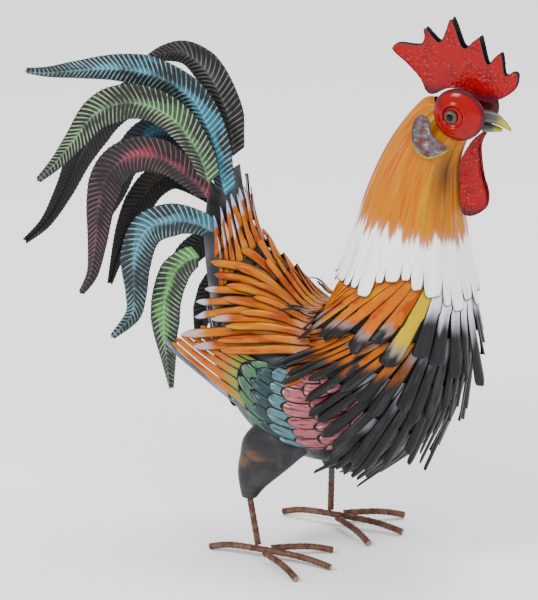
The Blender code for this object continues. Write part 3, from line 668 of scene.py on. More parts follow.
# Stations from the skull down, as those of the torso; below NECK_RING a station is NECK_FOOT long
NECK = (
    (0.1515, 0.4945, 0.1940, 0.4600, 0.0168), (0.139, 0.491, 0.188, 0.457, 0.0180),
    (0.121, 0.470, 0.181, 0.441, 0.0275), (0.102, 0.440, 0.177, 0.421, 0.0350),
    (0.085, 0.402, 0.178, 0.396, 0.0440), (0.071, 0.360, 0.181, 0.368, 0.0540),
    (0.057, 0.318, 0.187, 0.328, 0.0650), (0.034, 0.268, 0.198, 0.272, 0.0810),
)
NECK_RING = 6
NECK_FOOT = 0.052
NECK_GAUGE = 0.0009
# How far the tongues reach below that station, by their angle from the breast
POINT_ANGLES = (0, 30, 50, 62, 88, 100, 180)
POINT_LENGTHS = (0.036, 0.040, 0.022, 0.006, 0.006, 0.018, 0.020)
SLIT = 0.020
TONGUES = 30
TONGUE_COLUMNS = 12
NECK_ROWS = 84
NECK_SEED = 5
# Rise of each tongue's middle, and height and number of the soft flutes round the cone
TONGUE_RISE = 0.0006
FLUTE = 0.0007
FLUTES = 17
# Station where the white band starts at the breast, and how much higher it starts at the back
WHITE_STATION = 5.30
WHITE_CLIMB = 0.50
# The shade under the beak: angle and station of its middle, and its spread each way
SHADE_PLACE = (147, 3.0)
SHADE_SPREAD = (19, 1.4)

neck_paint = Paint("neck_paint", (244, 168, 16), 0.26, lacquer=0.04)
stroke = neck_paint.noise(16, (0.35, 3.4, 1), detail=5.0, distort=0.3)
fine = neck_paint.noise(60, (0.2, 3.0, 1), detail=3.0)
broad = neck_paint.noise(9, (1, 1.6, 1), detail=2.0)
neck_paint.over((236, 132, 10), stroke, 0.50, 0.66, 0.85)
neck_paint.over((248, 196, 50), stroke, 0.46, 0.34, 0.8)
neck_paint.over((206, 92, 20), broad, 0.40, 0.60, within=neck_paint.ramp(fine, 0.54, 0.68, 0.8))
neck_paint.over((250, 214, 140), broad, 0.60, 0.42, within=neck_paint.ramp(fine, 0.42, 0.30, 0.7))
neck_paint.over((126, 86, 44), fine, 0.36, 0.52, 0.95, 0.5, within="tone")
border = neck_paint.sum(neck_paint.sum("relief", stroke, 0.12), fine, 0.22)
neck_paint.over((242, 178, 150), border, 0.13, 0.175, 0.7)
neck_paint.over((236, 236, 240), border, 0.165, 0.215)
neck_paint.over((202, 204, 218), border, 0.24, 0.34, within=neck_paint.ramp(fine, 0.50, 0.66, 0.45))
# Painted shade: near-black in the slits between the tongues and at their ends, where the edge stands off the
# cape
neck_paint.over((34, 32, 36), "edge", 0.66, 0.92, 0.95)
neck_paint.gloss(stroke, 0.22, 0.36).dent(neck_paint.noise(40, (0.4, 2.2, 1), detail=3.0), 0.0008)

neck = Metalwork()
dice = random.Random(NECK_SEED)
cuts = sorted((360 * (k + 0.5 * (dice.random() - 0.5)) / TONGUES for k in range(TONGUES)))
cuts.append(cuts[0] + 360)
columns = []
for k in range(TONGUES):
    wide = cuts[k + 1] - cuts[k]
    middle = (cuts[k] + wide / 2 + 180) % 360 - 180
    tip = float(np.interp(abs(middle), POINT_ANGLES, POINT_LENGTHS)) * (0.72 + 0.4 * dice.random())
    depth = SLIT * (0.5 + 0.7 * dice.random())
    for c in range(TONGUE_COLUMNS):
        across = 2 * (c + 0.5) / TONGUE_COLUMNS - 1
        phi = cuts[k] + wide * (0.5 + 0.5 * math.sin(across * math.pi / 2))
        across = math.sin(across * math.pi / 2)
        end = tip - depth * (1 - math.sqrt(1 - across ** 6))
        columns.append((phi, across, end))
rows = []
for r in range(NECK_ROWS + 1):
    row = []
    for phi, across, end in columns:
        whole = NECK_RING + end / NECK_FOOT
        t = whole * r / NECK_ROWS
        point, _, _, normal = hull_frame(NECK, t, phi)
        lower = smooth((t - whole + 0.45) / 0.45)
        near = smooth((t - whole + 0.10) / 0.10)
        flute = FLUTE * (math.sin(math.radians(phi) * FLUTES) * smooth(t / 2) - 1)
        raised = TONGUE_RISE * (1 - across * across) * lower + flute
        turn = (phi + 180) % 360
        white = t - WHITE_STATION + WHITE_CLIMB * min(1.0, abs(turn - 180) / 110)
        off_angle = (turn - SHADE_PLACE[0]) / SHADE_SPREAD[0]
        off_station = (t - SHADE_PLACE[1]) / SHADE_SPREAD[1]
        shade = math.exp(-off_angle ** 2 - off_station ** 2)
        coat = (t / whole, max(near, across ** 6 * lower), shade, white / 6)
        row.append((point + normal * raised, coat, (t * 0.04, math.radians(phi) * 0.06, 0.0)))
    rows.append(row)
neck.patch(rows, wrap=True)
neck.piece("neck_cone", "neck_feathers", [neck_paint, under_paint], ["neck"], NECK_GAUGE)

# Wings
# A stamped steel plate, welded to each side of the body: rows of domed scales, each round edge over the next
# row, and behind them grooved flight feathers in a fan, whose lower edge is rolled into a grey rim. The scales
# go from pink through teal to green, with black rubbed into the grooves.
WING_S = (3.0, 6.55)
WING_PHI = (56, 117)
WING_LIFT = 0.0018
WING_GAUGE = 0.0009
PLATE_ROWS = 150
PLATE_COLUMNS = 130
# Rise of a scale to its tip, its dome, and the depth of the groove round it
SCALE_RISE = 0.0018
SCALE_DOME = 0.0011
SCALE_GROOVE = 0.0012
SCALE_ROUND = 0.085
# Share of the plate, from its front, where each row of scales ends; scales across it; colour, pink to green
SCALE_ENDS = (0.20, 0.42, 0.62, 0.755, 0.88, 1.0)
SCALE_COUNTS = (7.5, 6.5, 6.5, 5.5, 5.5, 4.5)
SCALE_COLOURS = (0.10, 0.15, 0.28, 0.58, 0.78, 0.98)
# The fan of flight feathers: tips (x, z) from the lowest to the highest, and how far out they stand
FLIGHT_TIPS = ((-0.117, 0.209), (-0.107, 0.218), (-0.095, 0.226), (-0.079, 0.235))
FLIGHT_FEATHERS = 6
FLIGHT_ROWS = 30
FLIGHT_ACROSS = (-1.0, -0.88, -0.7, -0.4, 0.0, 0.4, 0.7, 0.88, 1.0)
FLIGHT_Y = 0.044
# The rolled rim (x, z) from its free end to the foot of the plate
RIM = ((-0.123, 0.212), (-0.1084, 0.1985), (-0.0775, 0.178), (-0.0466, 0.158))
RIM_RADIUS = 0.0024
RIM_RINGS = 40
RIM_SIDES = 10

wing_paint = Paint("wing_paint", (208, 132, 142), 0.34, 0.1)
cloud = wing_paint.noise(150, detail=4.0)
brush_and_sheen = wing_paint.noise(190, (0.5, 2.0, 1), detail=4.0)
fine = wing_paint.noise(420, detail=3.0)
zone = wing_paint.sum("relief", "tone", 0.10)
wing_paint.over((118, 160, 168), zone, 0.42, 0.50)
wing_paint.over((58, 88, 96), zone, 0.66, 0.74)
wing_paint.over((104, 152, 118), zone, 0.86, 0.94)
wing_paint.over((48, 52, 56), brush_and_sheen, 0.50, 0.66, 0.8)
# Painted highlight: pale streaks towards the raised tip of each scale
wing_paint.over((214, 230, 228), brush_and_sheen, 0.44, 0.34, 0.7, within=wing_paint.ramp("lay", 0.55, 0.95))
wing_paint.over((16, 17, 19), wing_paint.sum("edge", fine, 0.3), 0.60, 0.92)
# Painted shade: near-black at the sunken root of each scale, under the round edge of the row above
wing_paint.over((16, 16, 18), "lay", 0.34, 0.06, 0.95)
wing_paint.gloss(cloud, 0.26, 0.42).dent(fine, 0.0002)

flight_paint = Paint("flight_paint", (240, 148, 20), 0.34)
blot = flight_paint.noise(70, (0.35, 1, 1), detail=4.0)
streak = flight_paint.noise(90, (0.15, 1.8, 1), detail=4.0)
flight_paint.over((206, 84, 20), blot, 0.50, 0.64, 0.9)
flight_paint.over((238, 176, 36), blot, 0.46, 0.34, 0.8)
low = flight_paint.sum("lay", streak, -0.4)
flight_paint.over((176, 186, 84), low, 0.06, -0.10, 0.9)
flight_paint.over((158, 154, 150), "relief", 0.72, 0.95)
flight_paint.over((70, 60, 56), "edge", 0.86, 1.0, 0.8)
flight_paint.gloss(blot, 0.26, 0.42).dent(streak, 0.0003)


def on_plate(side, u, v, height):
    """A place on the plate: u from its front to its rear, v from its lower edge to its upper."""
    a, b = 2 * u - 1, 2 * v - 1
    s = mixed(*WING_S, 0.5 + 0.5 * a * math.sqrt(1 - 0.5 * b * b))
    phi = mixed(*WING_PHI, 0.5 + 0.5 * b * math.sqrt(1 - 0.45 * a * a))
    return on_torso(s, side * phi, height)


def scale_at(u, v):
    """The scale at a place on the plate: its row, number, share of its length, and place across, -1 to 1."""
    begin = -0.15
    for row, end in enumerate(SCALE_ENDS):
        across = v * SCALE_COUNTS[row] + 0.5 * (row % 2) + 0.12 * math.sin(9 * v + 2 * row)
        lean = 2 * (across % 1) - 1
        end += 0.02 * math.sin(5 * int(across) + 3 * row) * (row < len(SCALE_ENDS) - 1)
        tip = end - SCALE_ROUND * (1 - math.sqrt(1 - 0.96 * lean * lean))
        if u <= tip or row == len(SCALE_ENDS) - 1:
            return row, int(across), min(1.0, (u - begin) / (tip - begin)), lean
        begin = end - SCALE_ROUND


def stamped_scales(side):
    plate = Metalwork()
    rows = []
    for i in range(PLATE_ROWS + 1):
        row = []
        for j in range(PLATE_COLUMNS + 1):
            u, v = i / PLATE_ROWS, j / PLATE_COLUMNS
            number, place, share, lean = scale_at(u, v)
            rim = min((1 - share) * 2.2, (1 - abs(lean)) * 1.6)
            dome = SCALE_RISE * share + SCALE_DOME * (1 - lean * lean)
            height = WING_LIFT + SHEET + dome - SCALE_GROOVE * (1 - smooth(rim / 0.35))
            tone = (number * 0.37 + place * 0.61) % 1
            coat = (share, 1 - smooth(rim / 0.4), tone, SCALE_COLOURS[number])
            row.append((on_plate(side, u, v, height), coat, (u * 0.11, v * 0.09, 0.0)))
        rows.append(row[::side])
    plate.patch(rows)
    return plate


def flight_fan(side):
    """Feathers side by side from the plate's rear edge to the tips, each domed and a little over the next."""
    fan = Metalwork()
    for k in range(FLIGHT_FEATHERS):
        rows = []
        for i in range(FLIGHT_ROWS + 1):
            t = 1 - (1 - i / FLIGHT_ROWS) ** 1.3
            width = max(0.12, rounded(t, 0.94 - 0.03 * (k % 2)))
            row = []
            for across in FLIGHT_ACROSS:
                c = (k + 0.5 + 0.5 * across * width) / FLIGHT_FEATHERS
                root_point = on_plate(side, 1.0, mixed(0.03, 0.97, c), WING_LIFT)
                x, z = catmull(FLIGHT_TIPS, c * (len(FLIGHT_TIPS) - 1))
                ridge = math.exp(-((abs(across) - 0.90) / 0.08) ** 2)
                domed = 0.0018 * (1 - across ** 2) + 0.0004 * ridge + 0.0008 * across
                out = Vector((0, side * (domed + 0.003 * math.sin(math.pi * t) + SHEET / 2), 0))
                place = root_point.lerp(Vector((x, side * FLIGHT_Y, z)), t) + out
                row.append((place, (t, abs(across), c, ridge), (t * 0.09, across * 0.005, 0.5 + k)))
            rows.append(row[::side])
        fan.patch(rows)
    return fan


def rolled_rim(side):
    """The edge below the flight feathers, rolled up into a flat tube that thins to its free end."""
    foot = on_plate(side, 0.97, 0.0, WING_LIFT)
    route = [(x, side * FLIGHT_Y, z) for x, z in RIM] + [tuple(foot)]
    rings = []
    for i in range(RIM_RINGS + 1):
        t = i / RIM_RINGS
        back, here, ahead = (Vector(catmull(route, min(max(t + step, 0.0), 1.0) * (len(route) - 1)))
                             for step in (-0.02, 0.0, 0.02))
        across = (ahead - back).normalized().cross(Vector((0, 1, 0))).normalized()
        radius = RIM_RADIUS * (0.55 + 0.45 * smooth(t / 0.12)) * (1.25 - 0.5 * t)
        ring = []
        for b in circle(RIM_SIDES):
            place = here + across * radius * math.cos(b) + Vector((0, 0.6 * radius * math.sin(b), 0))
            ring.append((place, (0.5, 0.0, 0.5, 0.0), (t * 0.12, 0.002 * math.cos(b), 9.0)))
        rings.append(ring)
    rolled = Metalwork()
    rolled.tube(rings)
    return rolled


for word, side in (("right", -1), ("left", 1)):
    stamped_scales(side).piece(f"{word}_wing_scales", "wing_feathers", [wing_paint, under_paint],
                               [f"{word}_wing"], WING_GAUGE)
    flight_fan(side).piece(f"{word}_flight_feathers", "wing_feathers", [flight_paint, under_paint],
                           [f"{word}_wing"], GAUGE)
    rolled_rim(side).piece(f"{word}_wing_rim", "wing_feathers", [rump_paint], [f"{word}_wing"])

# Tail feathers
# Eleven long curved strips of heavier sheet, welded to the tail root. Each is pressed with a central rib and
# slanting barbs, painted gunmetal with its own colour near the rib, and given a pale painted highlight on the
# rib and the barbs' crests.

# Each feather's name; its middle line (x, z); y at its root and tip; width; ground and accent colours and the
# pale colour of its painted highlights; and how sparse the accent is and how much the crest highlights cover at
# least, each from 0 to 1
SICKLES = (
    ("crest", ((-0.066, 0.366), (-0.072, 0.388), (-0.080, 0.421), (-0.102, 0.461), (-0.141, 0.480),
               (-0.185, 0.482), (-0.230, 0.474), (-0.263, 0.467), (-0.287, 0.465)), (-0.0165, -0.019), 0.034,
     (50, 58, 62), (70, 166, 190), (186, 218, 224), (0.0, 0.55)),
    ("rear", ((-0.066, 0.402), (-0.070, 0.425), (-0.076, 0.452), (-0.094, 0.484), (-0.119, 0.500),
              (-0.146, 0.496), (-0.170, 0.482)), (0.0, 0.004), 0.034,
     (48, 46, 46), (76, 72, 70), (150, 148, 146), (0.5, 0.1)),
    ("green", ((-0.079, 0.380), (-0.088, 0.407), (-0.109, 0.436), (-0.137, 0.452), (-0.170, 0.453),
               (-0.203, 0.436), (-0.227, 0.404), (-0.247, 0.378), (-0.266, 0.358)), (-0.0285, -0.037), 0.036,
     (56, 58, 54), (86, 134, 84), (198, 212, 190), (0.0, 0.5)),
    ("far", ((-0.086, 0.372), (-0.100, 0.405), (-0.127, 0.432), (-0.171, 0.445), (-0.215, 0.419),
             (-0.248, 0.372), (-0.270, 0.326), (-0.292, 0.288), (-0.317, 0.263)), (0.018, 0.030), 0.034,
     (48, 46, 46), (76, 88, 72), (146, 146, 140), (0.5, 0.2)),
    ("plum", ((-0.083, 0.362), (-0.101, 0.379), (-0.134, 0.397), (-0.167, 0.394), (-0.191, 0.374),
              (-0.202, 0.340), (-0.206, 0.297), (-0.211, 0.264), (-0.223, 0.242)), (-0.0215, -0.029), 0.036,
     (54, 48, 52), (168, 62, 84), (160, 118, 124), (0.5, 0.25)),
    ("blue", ((-0.090, 0.366), (-0.118, 0.392), (-0.151, 0.405), (-0.178, 0.398), (-0.200, 0.371),
              (-0.217, 0.326), (-0.245, 0.274)), (0.0245, 0.040), 0.030,
     (44, 54, 62), (56, 122, 146), (126, 160, 172), (0.0, 0.5)),
    ("brown", ((-0.088, 0.340), (-0.109, 0.354), (-0.140, 0.365), (-0.164, 0.352), (-0.181, 0.328),
               (-0.195, 0.299), (-0.206, 0.264), (-0.213, 0.238)), (0.018, 0.014), 0.030,
     (46, 42, 42), (82, 62, 60), (128, 116, 112), (0.5, 0.2)),
    ("teal", ((-0.074, 0.331), (-0.092, 0.337), (-0.117, 0.337), (-0.145, 0.323), (-0.157, 0.292),
              (-0.156, 0.255), (-0.159, 0.232), (-0.180, 0.207)), (-0.0300, -0.046), 0.034,
     (54, 66, 70), (80, 154, 174), (180, 206, 210), (0.0, 0.55)),
    ("leaf", ((-0.092, 0.300), (-0.105, 0.294), (-0.119, 0.278), (-0.127, 0.250), (-0.127, 0.218),
              (-0.122, 0.187), (-0.118, 0.160)), (-0.025, -0.040), 0.032,
     (70, 76, 70), (110, 190, 96), (196, 214, 190), (0.0, 0.8)),
    ("low", ((-0.097, 0.301), (-0.113, 0.294), (-0.135, 0.273), (-0.149, 0.239), (-0.155, 0.217)),
     (0.025, 0.036), 0.026, (44, 42, 42), (66, 74, 66), (134, 134, 130), (0.5, 0.3)),
    ("last", ((-0.102, 0.262), (-0.108, 0.247), (-0.114, 0.230), (-0.121, 0.206), (-0.128, 0.178)),
     (0.026, 0.040), 0.022, (42, 42, 44), (70, 74, 78), (160, 160, 160), (0.5, 0.3)),
)
SICKLE_SHEET = 0.0012
SICKLE_STEPS = 240
SICKLE_ACROSS = (-1.0, -0.86, -0.6, -0.34, -0.14, -0.07, 0.0, 0.07, 0.14, 0.34, 0.6, 0.86, 1.0)
RIB_RISE = 0.003
BEAD_RISE = 0.0011
BARB_RISE = 0.0006
BARB = 0.0052
BARB_LEAN = 0.85
# The groove and crest of one barb: share of its length, and height
BARB_FORM = ((0.0, 0.0), (0.34, 0.0), (0.66, 0.12), (0.80, 1.0), (0.92, 0.85))


def sickle_paint(name, ground, accent, pale, strength):
    """Gunmetal with an accent colour in patches, strongest by the rib, and painted highlights in a pale tint on
    the crests.
    """
    made = Paint(name, ground, 0.38, 0.25)
    patch = made.noise(22, (0.8, 2.0, 1), detail=4.0)
    fine = made.noise(160, detail=3.0)
    rib = made.ramp("edge", 0.55, 0.0)
    sparse, least = strength
    made.over((44, 44, 46), fine, 0.50, 0.70, 0.6)
    wanted = made.sum(made.sum(made.sum(patch, rib, 0.22), "lay", -0.20), fine, 0.12)
    made.over(accent, wanted, 0.56 + sparse * 0.2, 0.72 + sparse * 0.2, 0.85)
    highlight_patches = made.ramp(made.sum(patch, fine, 0.6), 0.62, 0.90, 1.0, 0.2)
    crest = made.times(made.ramp("relief", 0.5, 1.0), highlight_patches)
    # Painted highlight: the pale tint on the rib and on the crests of the barbs, in patches
    made.over(pale, patch, 0.30, 0.60, 0.85, 0.15 + least * 0.4, within=crest)
    made.over((36, 36, 38), "edge", 0.93, 1.0, 0.6)
    return made.gloss(fine, 0.30, 0.50).dent(fine, 0.0002)


def ribbed_feather(line, root_y, tip_y, width):
    """A curved strip: a raised middle with a beaded rib, and barbs that slant back from it to both edges."""
    outward = -1.0 if root_y <= 0 else 1.0
    middle = [(x, 0.0, z) for x, z in line]
    last = len(line) - 1
    samples = [Vector(catmull(middle, last * k / SICKLE_STEPS)) for k in range(SICKLE_STEPS + 1)]
    marks = np.concatenate(([0.0], np.cumsum([(b - a).length for a, b in zip(samples, samples[1:])])))
    long = float(marks[-1])
    barbs = round(long / BARB)
    stations = [((k + part) * long / barbs, relief) for k in range(barbs) for part, relief in BARB_FORM]
    rows = []
    for d, relief in (*stations, (long, 0.0)):
        row = []
        for across in SICKLE_ACROSS:
            inward = 1 - abs(across)
            t = d / long
            lean = BARB_LEAN * (0.5 + 0.5 * t) * abs(across) * width / 2 * min(1.0, 4 * (1 - t))
            t = min(1.0, (d + lean) / long)
            place = float(np.interp(t * long, marks, np.linspace(0, last, SICKLE_STEPS + 1)))
            back, here, ahead = (Vector(catmull(middle, place + step)) for step in (-0.05, 0.0, 0.05))
            half = width / 2 * min(1.0, 0.62 + 1.6 * t) * min(1.0, 0.16 + 1.9 * (1 - t))
            half *= 1 + 0.035 * relief * abs(across)
            bead = math.exp(-(across / 0.11) ** 2)
            out = RIB_RISE * inward ** 1.2 + BEAD_RISE * bead + BARB_RISE * relief * min(1.0, 6 * inward)
            here += (ahead - back).normalized().cross(Vector((0, 1, 0))) * across * half
            here.y = mixed(root_y, tip_y, t) + outward * out
            row.append((here, (t, abs(across), 0.5, max(bead * 0.8, relief)), (t * long, across * half, 0.0)))
        rows.append(row if outward < 0 else row[::-1])
    feather = Metalwork()
    feather.patch(rows)
    return feather


for name, line, (root_y, tip_y), width, *colours in SICKLES:
    finish = sickle_paint(f"tail_{name}_paint", *colours)
    feather = ribbed_feather(line, root_y, tip_y, width)
    feather.piece(f"tail_feather_{name}", "tail_feathers", [finish], [f"sickle_{name}"], SICKLE_SHEET, 0.0)

# Skull and cheeks
# The skull is a formed ball in the open top of the neck. On each side of it sits a domed steel disc, painted
# red, with a pressed ring round the eye, and the eye is a bead painted black in an amber and grey ring.
SKULL_SIZE = Vector((0.0260, 0.0155, 0.0238))
SKULL_RINGS = 20
SKULL_SIDES = 32
FACE = Vector((0.185, 0.0, 0.4855))
FACE_RADIUS = 0.0262
FACE_PLANE = 0.0195
FACE_BULGE = 0.0075
FACE_SIDES = 64
# Rings of a cheek, as shares of its radius from its rim to its middle, and how far the right one reaches ahead
FACE_SHARES = (1.0, 1.0, 0.99, 0.97, 0.93, 0.88, 0.82, 0.76, 0.70, 0.64, 0.60, 0.56, 0.52, 0.49, 0.46,
               0.43, 0.40, 0.36, 0.32, 0.2, 0.08)
FACE_STRETCH = {-1: 0.09, 1: 0.0}
# The pressed ring round the eye: its radius, width and height, and the depth of the eye's seat inside it
EYE_RING = 0.0125
EYE_RING_SIZE = 0.0014
EYE_SEAT = 0.0012
EYE = Vector((0.180, 0.0, 0.485))
EYE_RADIUS = 0.007
EYE_RISE = 0.0045
EYE_SUNK = 0.0008
EYE_SIDES = 40
BEAD_SLOPES = (0.0, 0.12, 0.3, 0.5, 0.7, 0.9, 1.1, 1.3, 1.48)

red_paint = Paint("red_paint", (200, 18, 28), 0.20, lacquer=0.14)
cloud = red_paint.noise(45, detail=4.0, space="object")
red_paint.over((150, 12, 24), cloud, 0.52, 0.66, 0.7)
# Painted shade: darker purple towards the rim of each cheek, where its dome turns away from the light
red_paint.over((92, 26, 40), red_paint.sum("edge", cloud, 0.5), 0.50, 1.15, 0.9)
red_paint.dent(red_paint.noise(160, space="object"), 0.0003)

skull = Metalwork()
rings = []
for k in range(1, SKULL_RINGS):
    a = math.pi * k / SKULL_RINGS
    ring = []
    for b in circle(SKULL_SIDES):
        ball = Vector((-math.cos(a), math.sin(a) * math.cos(b), math.sin(a) * math.sin(b)))
        ring.append((SKULL + ball * SKULL_SIZE, (k / SKULL_RINGS, 0.0, 0.5, 0.0), (k / 300, b / 60, 0.0)))
    rings.append(ring)
skull.tube(rings, (0.0004, 0.0004))
skull.piece("skull", "red_head", [red_paint], ["head"])

eye_paint = Paint("eye_paint", (12, 10, 10), 0.12, lacquer=0.08)
eye_paint.over((122, 104, 84), "lay", 0.50, 0.58)
eye_paint.over((78, 72, 66), eye_paint.noise(700, space="object"), 0.45, 0.60, 0.5)
eye_paint.over((10, 9, 9), "lay", 0.54, 0.48)
eye_paint.over((40, 34, 32), "lay", 0.90, 1.0)


def domed_cheek(side):
    """A disc that rises from its rim to the ring round the eye, its middle moved over to the eye."""
    rings = []
    for share in FACE_SHARES:
        centre = FACE.lerp(EYE, 1 - share)
        bulge = min(1.0, (1 - share ** 5) * 0.75 + 0.25 * (1 - share) + 0.12) if rings else 0.0
        out = FACE_PLANE + FACE_BULGE * bulge - EYE_SEAT * smooth((0.44 - share) / 0.1)
        out += EYE_RING_SIZE * math.exp(-((share * FACE_RADIUS - EYE_RING) / EYE_RING_SIZE) ** 2)
        coat = (share, smooth((share - 0.80) / 0.2), 0.5, 0.0)
        ring = []
        for b in circle(FACE_SIDES):
            ahead = FACE_STRETCH[side] * share ** 3 * max(0.0, math.cos(b - 0.15)) ** 4
            reach = FACE_RADIUS * share * (1 + ahead)
            place = Vector((centre.x + reach * math.cos(b), side * out, centre.z + reach * math.sin(b)))
            ring.append((place, coat, (share * 0.02, b * 0.01, 0.0)))
        rings.append(ring[::side])
    cheek = Metalwork()
    cheek.tube(rings)
    return cheek


def eye_bead(side):
    rings = []
    for a in BEAD_SLOPES:
        share = math.cos(a)
        reach = EYE_RADIUS * share
        out = FACE_PLANE + FACE_BULGE - EYE_SUNK + EYE_RISE * math.sin(a)
        ring = []
        for b in circle(EYE_SIDES):
            place = Vector((EYE.x + reach * math.cos(b), side * out, EYE.z + reach * math.sin(b)))
            ring.append((place, (share, 0.0, 0.5, 0.0), (share * 0.01, b * 0.01, 0.0)))
        rings.append(ring[::side])
    bead = Metalwork()
    bead.tube(rings)
    return bead


for word, side in (("right", -1), ("left", 1)):
    domed_cheek(side).piece(f"{word}_cheek", "red_head", [red_paint], [f"{word}_face"])
    eye_bead(side).piece(f"{word}_eye_bead", "eyes", [eye_paint], [f"{word}_eye"])

# Comb, wattles and ear lobes
# Hammered steel sheet cut to shape, its edge rolled over. The two halves of the comb meet at their ends and
# part at their points, the wattles hang under the beak, and an ear lobe lies behind each cheek.

# Outlines (x, z), each from its rear or upper end and round
COMB = (
    (0.1428, 0.4990), (0.1360, 0.5117), (0.1223, 0.5243), (0.1077, 0.5351), (0.1067, 0.5400),
    (0.1135, 0.5448), (0.1350, 0.5458), (0.1408, 0.5546), (0.1399, 0.5614), (0.1428, 0.5634),
    (0.1565, 0.5517), (0.1633, 0.5624), (0.1672, 0.5741), (0.1701, 0.5771), (0.1740, 0.5692),
    (0.1828, 0.5497), (0.1935, 0.5575), (0.1994, 0.5624), (0.2023, 0.5546), (0.2082, 0.5361),
    (0.2160, 0.5439), (0.2228, 0.5478), (0.2267, 0.5273), (0.2355, 0.5312), (0.2404, 0.5283),
    (0.2375, 0.5146), (0.2257, 0.5039), (0.2101, 0.4970), (0.1994, 0.4980), (0.1896, 0.5048),
    (0.1770, 0.5066), (0.1640, 0.5045), (0.1506, 0.4970),
)
WATTLE = (
    (0.2062, 0.4642), (0.2020, 0.4560), (0.2000, 0.4460), (0.2027, 0.4216), (0.2085, 0.4011),
    (0.2066, 0.3865), (0.1968, 0.3787), (0.1880, 0.3767), (0.1822, 0.3816), (0.1796, 0.4060),
    (0.1802, 0.4304), (0.1872, 0.4460), (0.1945, 0.4572), (0.2022, 0.4640),
)
EAR_LOBE = (
    (0.1438, 0.4790), (0.1409, 0.4673), (0.1438, 0.4507), (0.1555, 0.4419), (0.1673, 0.4439),
    (0.1819, 0.4546), (0.1692, 0.4605), (0.1614, 0.4683), (0.1585, 0.4800), (0.1516, 0.4839),
)
# How far out each stands: the comb at its ends, and how much its halves part between; the wattle; the ear
# lobe at LOBE_LEVEL, and how much more for each metre below it
COMB_OUT = 0.0016
COMB_PART = 0.003
WATTLE_OUT = 0.0038
LOBE_OUT = 0.0299
LOBE_LEVEL = 0.482
LOBE_SLANT = 0.125
# Depth of the hammer marks and how many there are in a metre; width of the rolled edge and of its dark line
HAMMER = 0.0011
HAMMER_MARKS = 330
MESH_STEP = 0.0009
RIM_WIDTH = 0.0030
EDGE_LINE = 0.0022


def rounded_outline(points, steps=5):
    """A closed outline, its straight runs bowed into curves."""
    ring = [points[-1], *points, points[0], points[1]]
    return [catmull(ring, 1 + k / steps) for k in range(len(points) * steps)]


def measured(ring, spots):
    """For each spot, whether it lies inside a closed outline, how far off that is, and its nearest point."""
    inside = np.zeros(len(spots), bool)
    best = np.full(len(spots), 9.0)
    nearest = spots.copy()
    for a, b in zip(ring, np.roll(ring, -1, 0)):
        crossing = (a[1] > spots[:, 1]) != (b[1] > spots[:, 1])
        level = (b[0] - a[0]) * (spots[:, 1] - a[1]) / ((b[1] - a[1]) or 1e-12) + a[0]
        inside ^= crossing & (spots[:, 0] < level)
        share = np.clip(((spots - a) @ (b - a)) / max(float((b - a) @ (b - a)), 1e-15), 0, 1)
        foot = a + share[:, None] * (b - a)
        gap = np.linalg.norm(spots - foot, axis=1)
        nearer = gap < best
        best[nearer], nearest[nearer] = gap[nearer], foot[nearer]
    return inside, best, nearest


def cut_plate(outline, place, side, rim_height):
    """A sheet cut to an outline of (x, z), each point at y = side * place(x, z) and its edge rolled outward."""
    ring = np.array(rounded_outline(outline))
    low, high = ring.min(0) - MESH_STEP, ring.max(0) + MESH_STEP
    wide, tall = (int(n) + 2 for n in (high - low) / MESH_STEP)
    across, up = (start + MESH_STEP * np.arange(steps) for start, steps in zip(low, (wide, tall)))
    spots = np.stack(np.meshgrid(across, up, indexing="ij"), -1).reshape(-1, 2)
    inside, gap, nearest = measured(ring, spots)
    spots = np.where(inside[:, None], spots, nearest)
    gap = np.where(inside, gap, 0.0)
    made = Metalwork()
    numbers = {}
    for i in range(wide - 1):
        for j in range(tall - 1):
            corners = [i * tall + j, (i + 1) * tall + j, (i + 1) * tall + j + 1, i * tall + j + 1]
            if not any(inside[c] for c in corners):
                continue
            for c in corners:
                if c in numbers:
                    continue
                x, z = (float(v) for v in spots[c])
                marks = noise.noise(Vector((x, 3.0, z)) * HAMMER_MARKS)
                rolled = rim_height * (1 - smooth(float(gap[c]) / RIM_WIDTH)) ** 2
                out = place(x, z) + HAMMER * 0.5 * marks + rolled
                coat = ((z - low[1]) / (high[1] - low[1]), 1 - smooth(float(gap[c]) / EDGE_LINE), 0.5,
                        0.5 + 0.5 * marks)
                numbers[c] = made.add(Vector((x, side * out, z)), coat, (x, z, 0.0))
            quad = [numbers[c] for c in corners]
            made.faces.append(tuple(quad if side < 0 else quad[::-1]))
    return made


def comb_place(x, z):
    along = min(max((x - 0.125) / 0.115, 0.0), 1.0)
    up = min(max((z - 0.500) / 0.045, 0.0), 1.0)
    return COMB_OUT + COMB_PART * math.sin(math.pi * along) * up


def lobe_place(x, z):
    return LOBE_OUT + LOBE_SLANT * (LOBE_LEVEL - z)


comb_paint = Paint("comb_paint", (204, 18, 36), 0.16, lacquer=0.12)
cloud = comb_paint.noise(60, detail=4.0)
fine = comb_paint.noise(330, detail=2.0)
comb_paint.over((160, 14, 26), cloud, 0.50, 0.66, 0.6)
# Painted highlight: pale pink flecks on the raised hammer marks, for glints on the lacquer
comb_paint.over((238, 122, 132), cloud, 0.42, 0.56, within=comb_paint.ramp(fine, 0.52, 0.74, 0.6))
# Darker purple at the lowest part of each plate: on the comb partly its own lower band, partly painted shade on
# the head
comb_paint.over((84, 30, 48), comb_paint.sum("lay", cloud, 0.12), 0.22, 0.12, 0.8)
comb_paint.over((70, 40, 52), "edge", 0.45, 0.95, 0.9)
comb_paint.dent(fine, 0.0004).dent(comb_paint.noise(120), 0.0006)

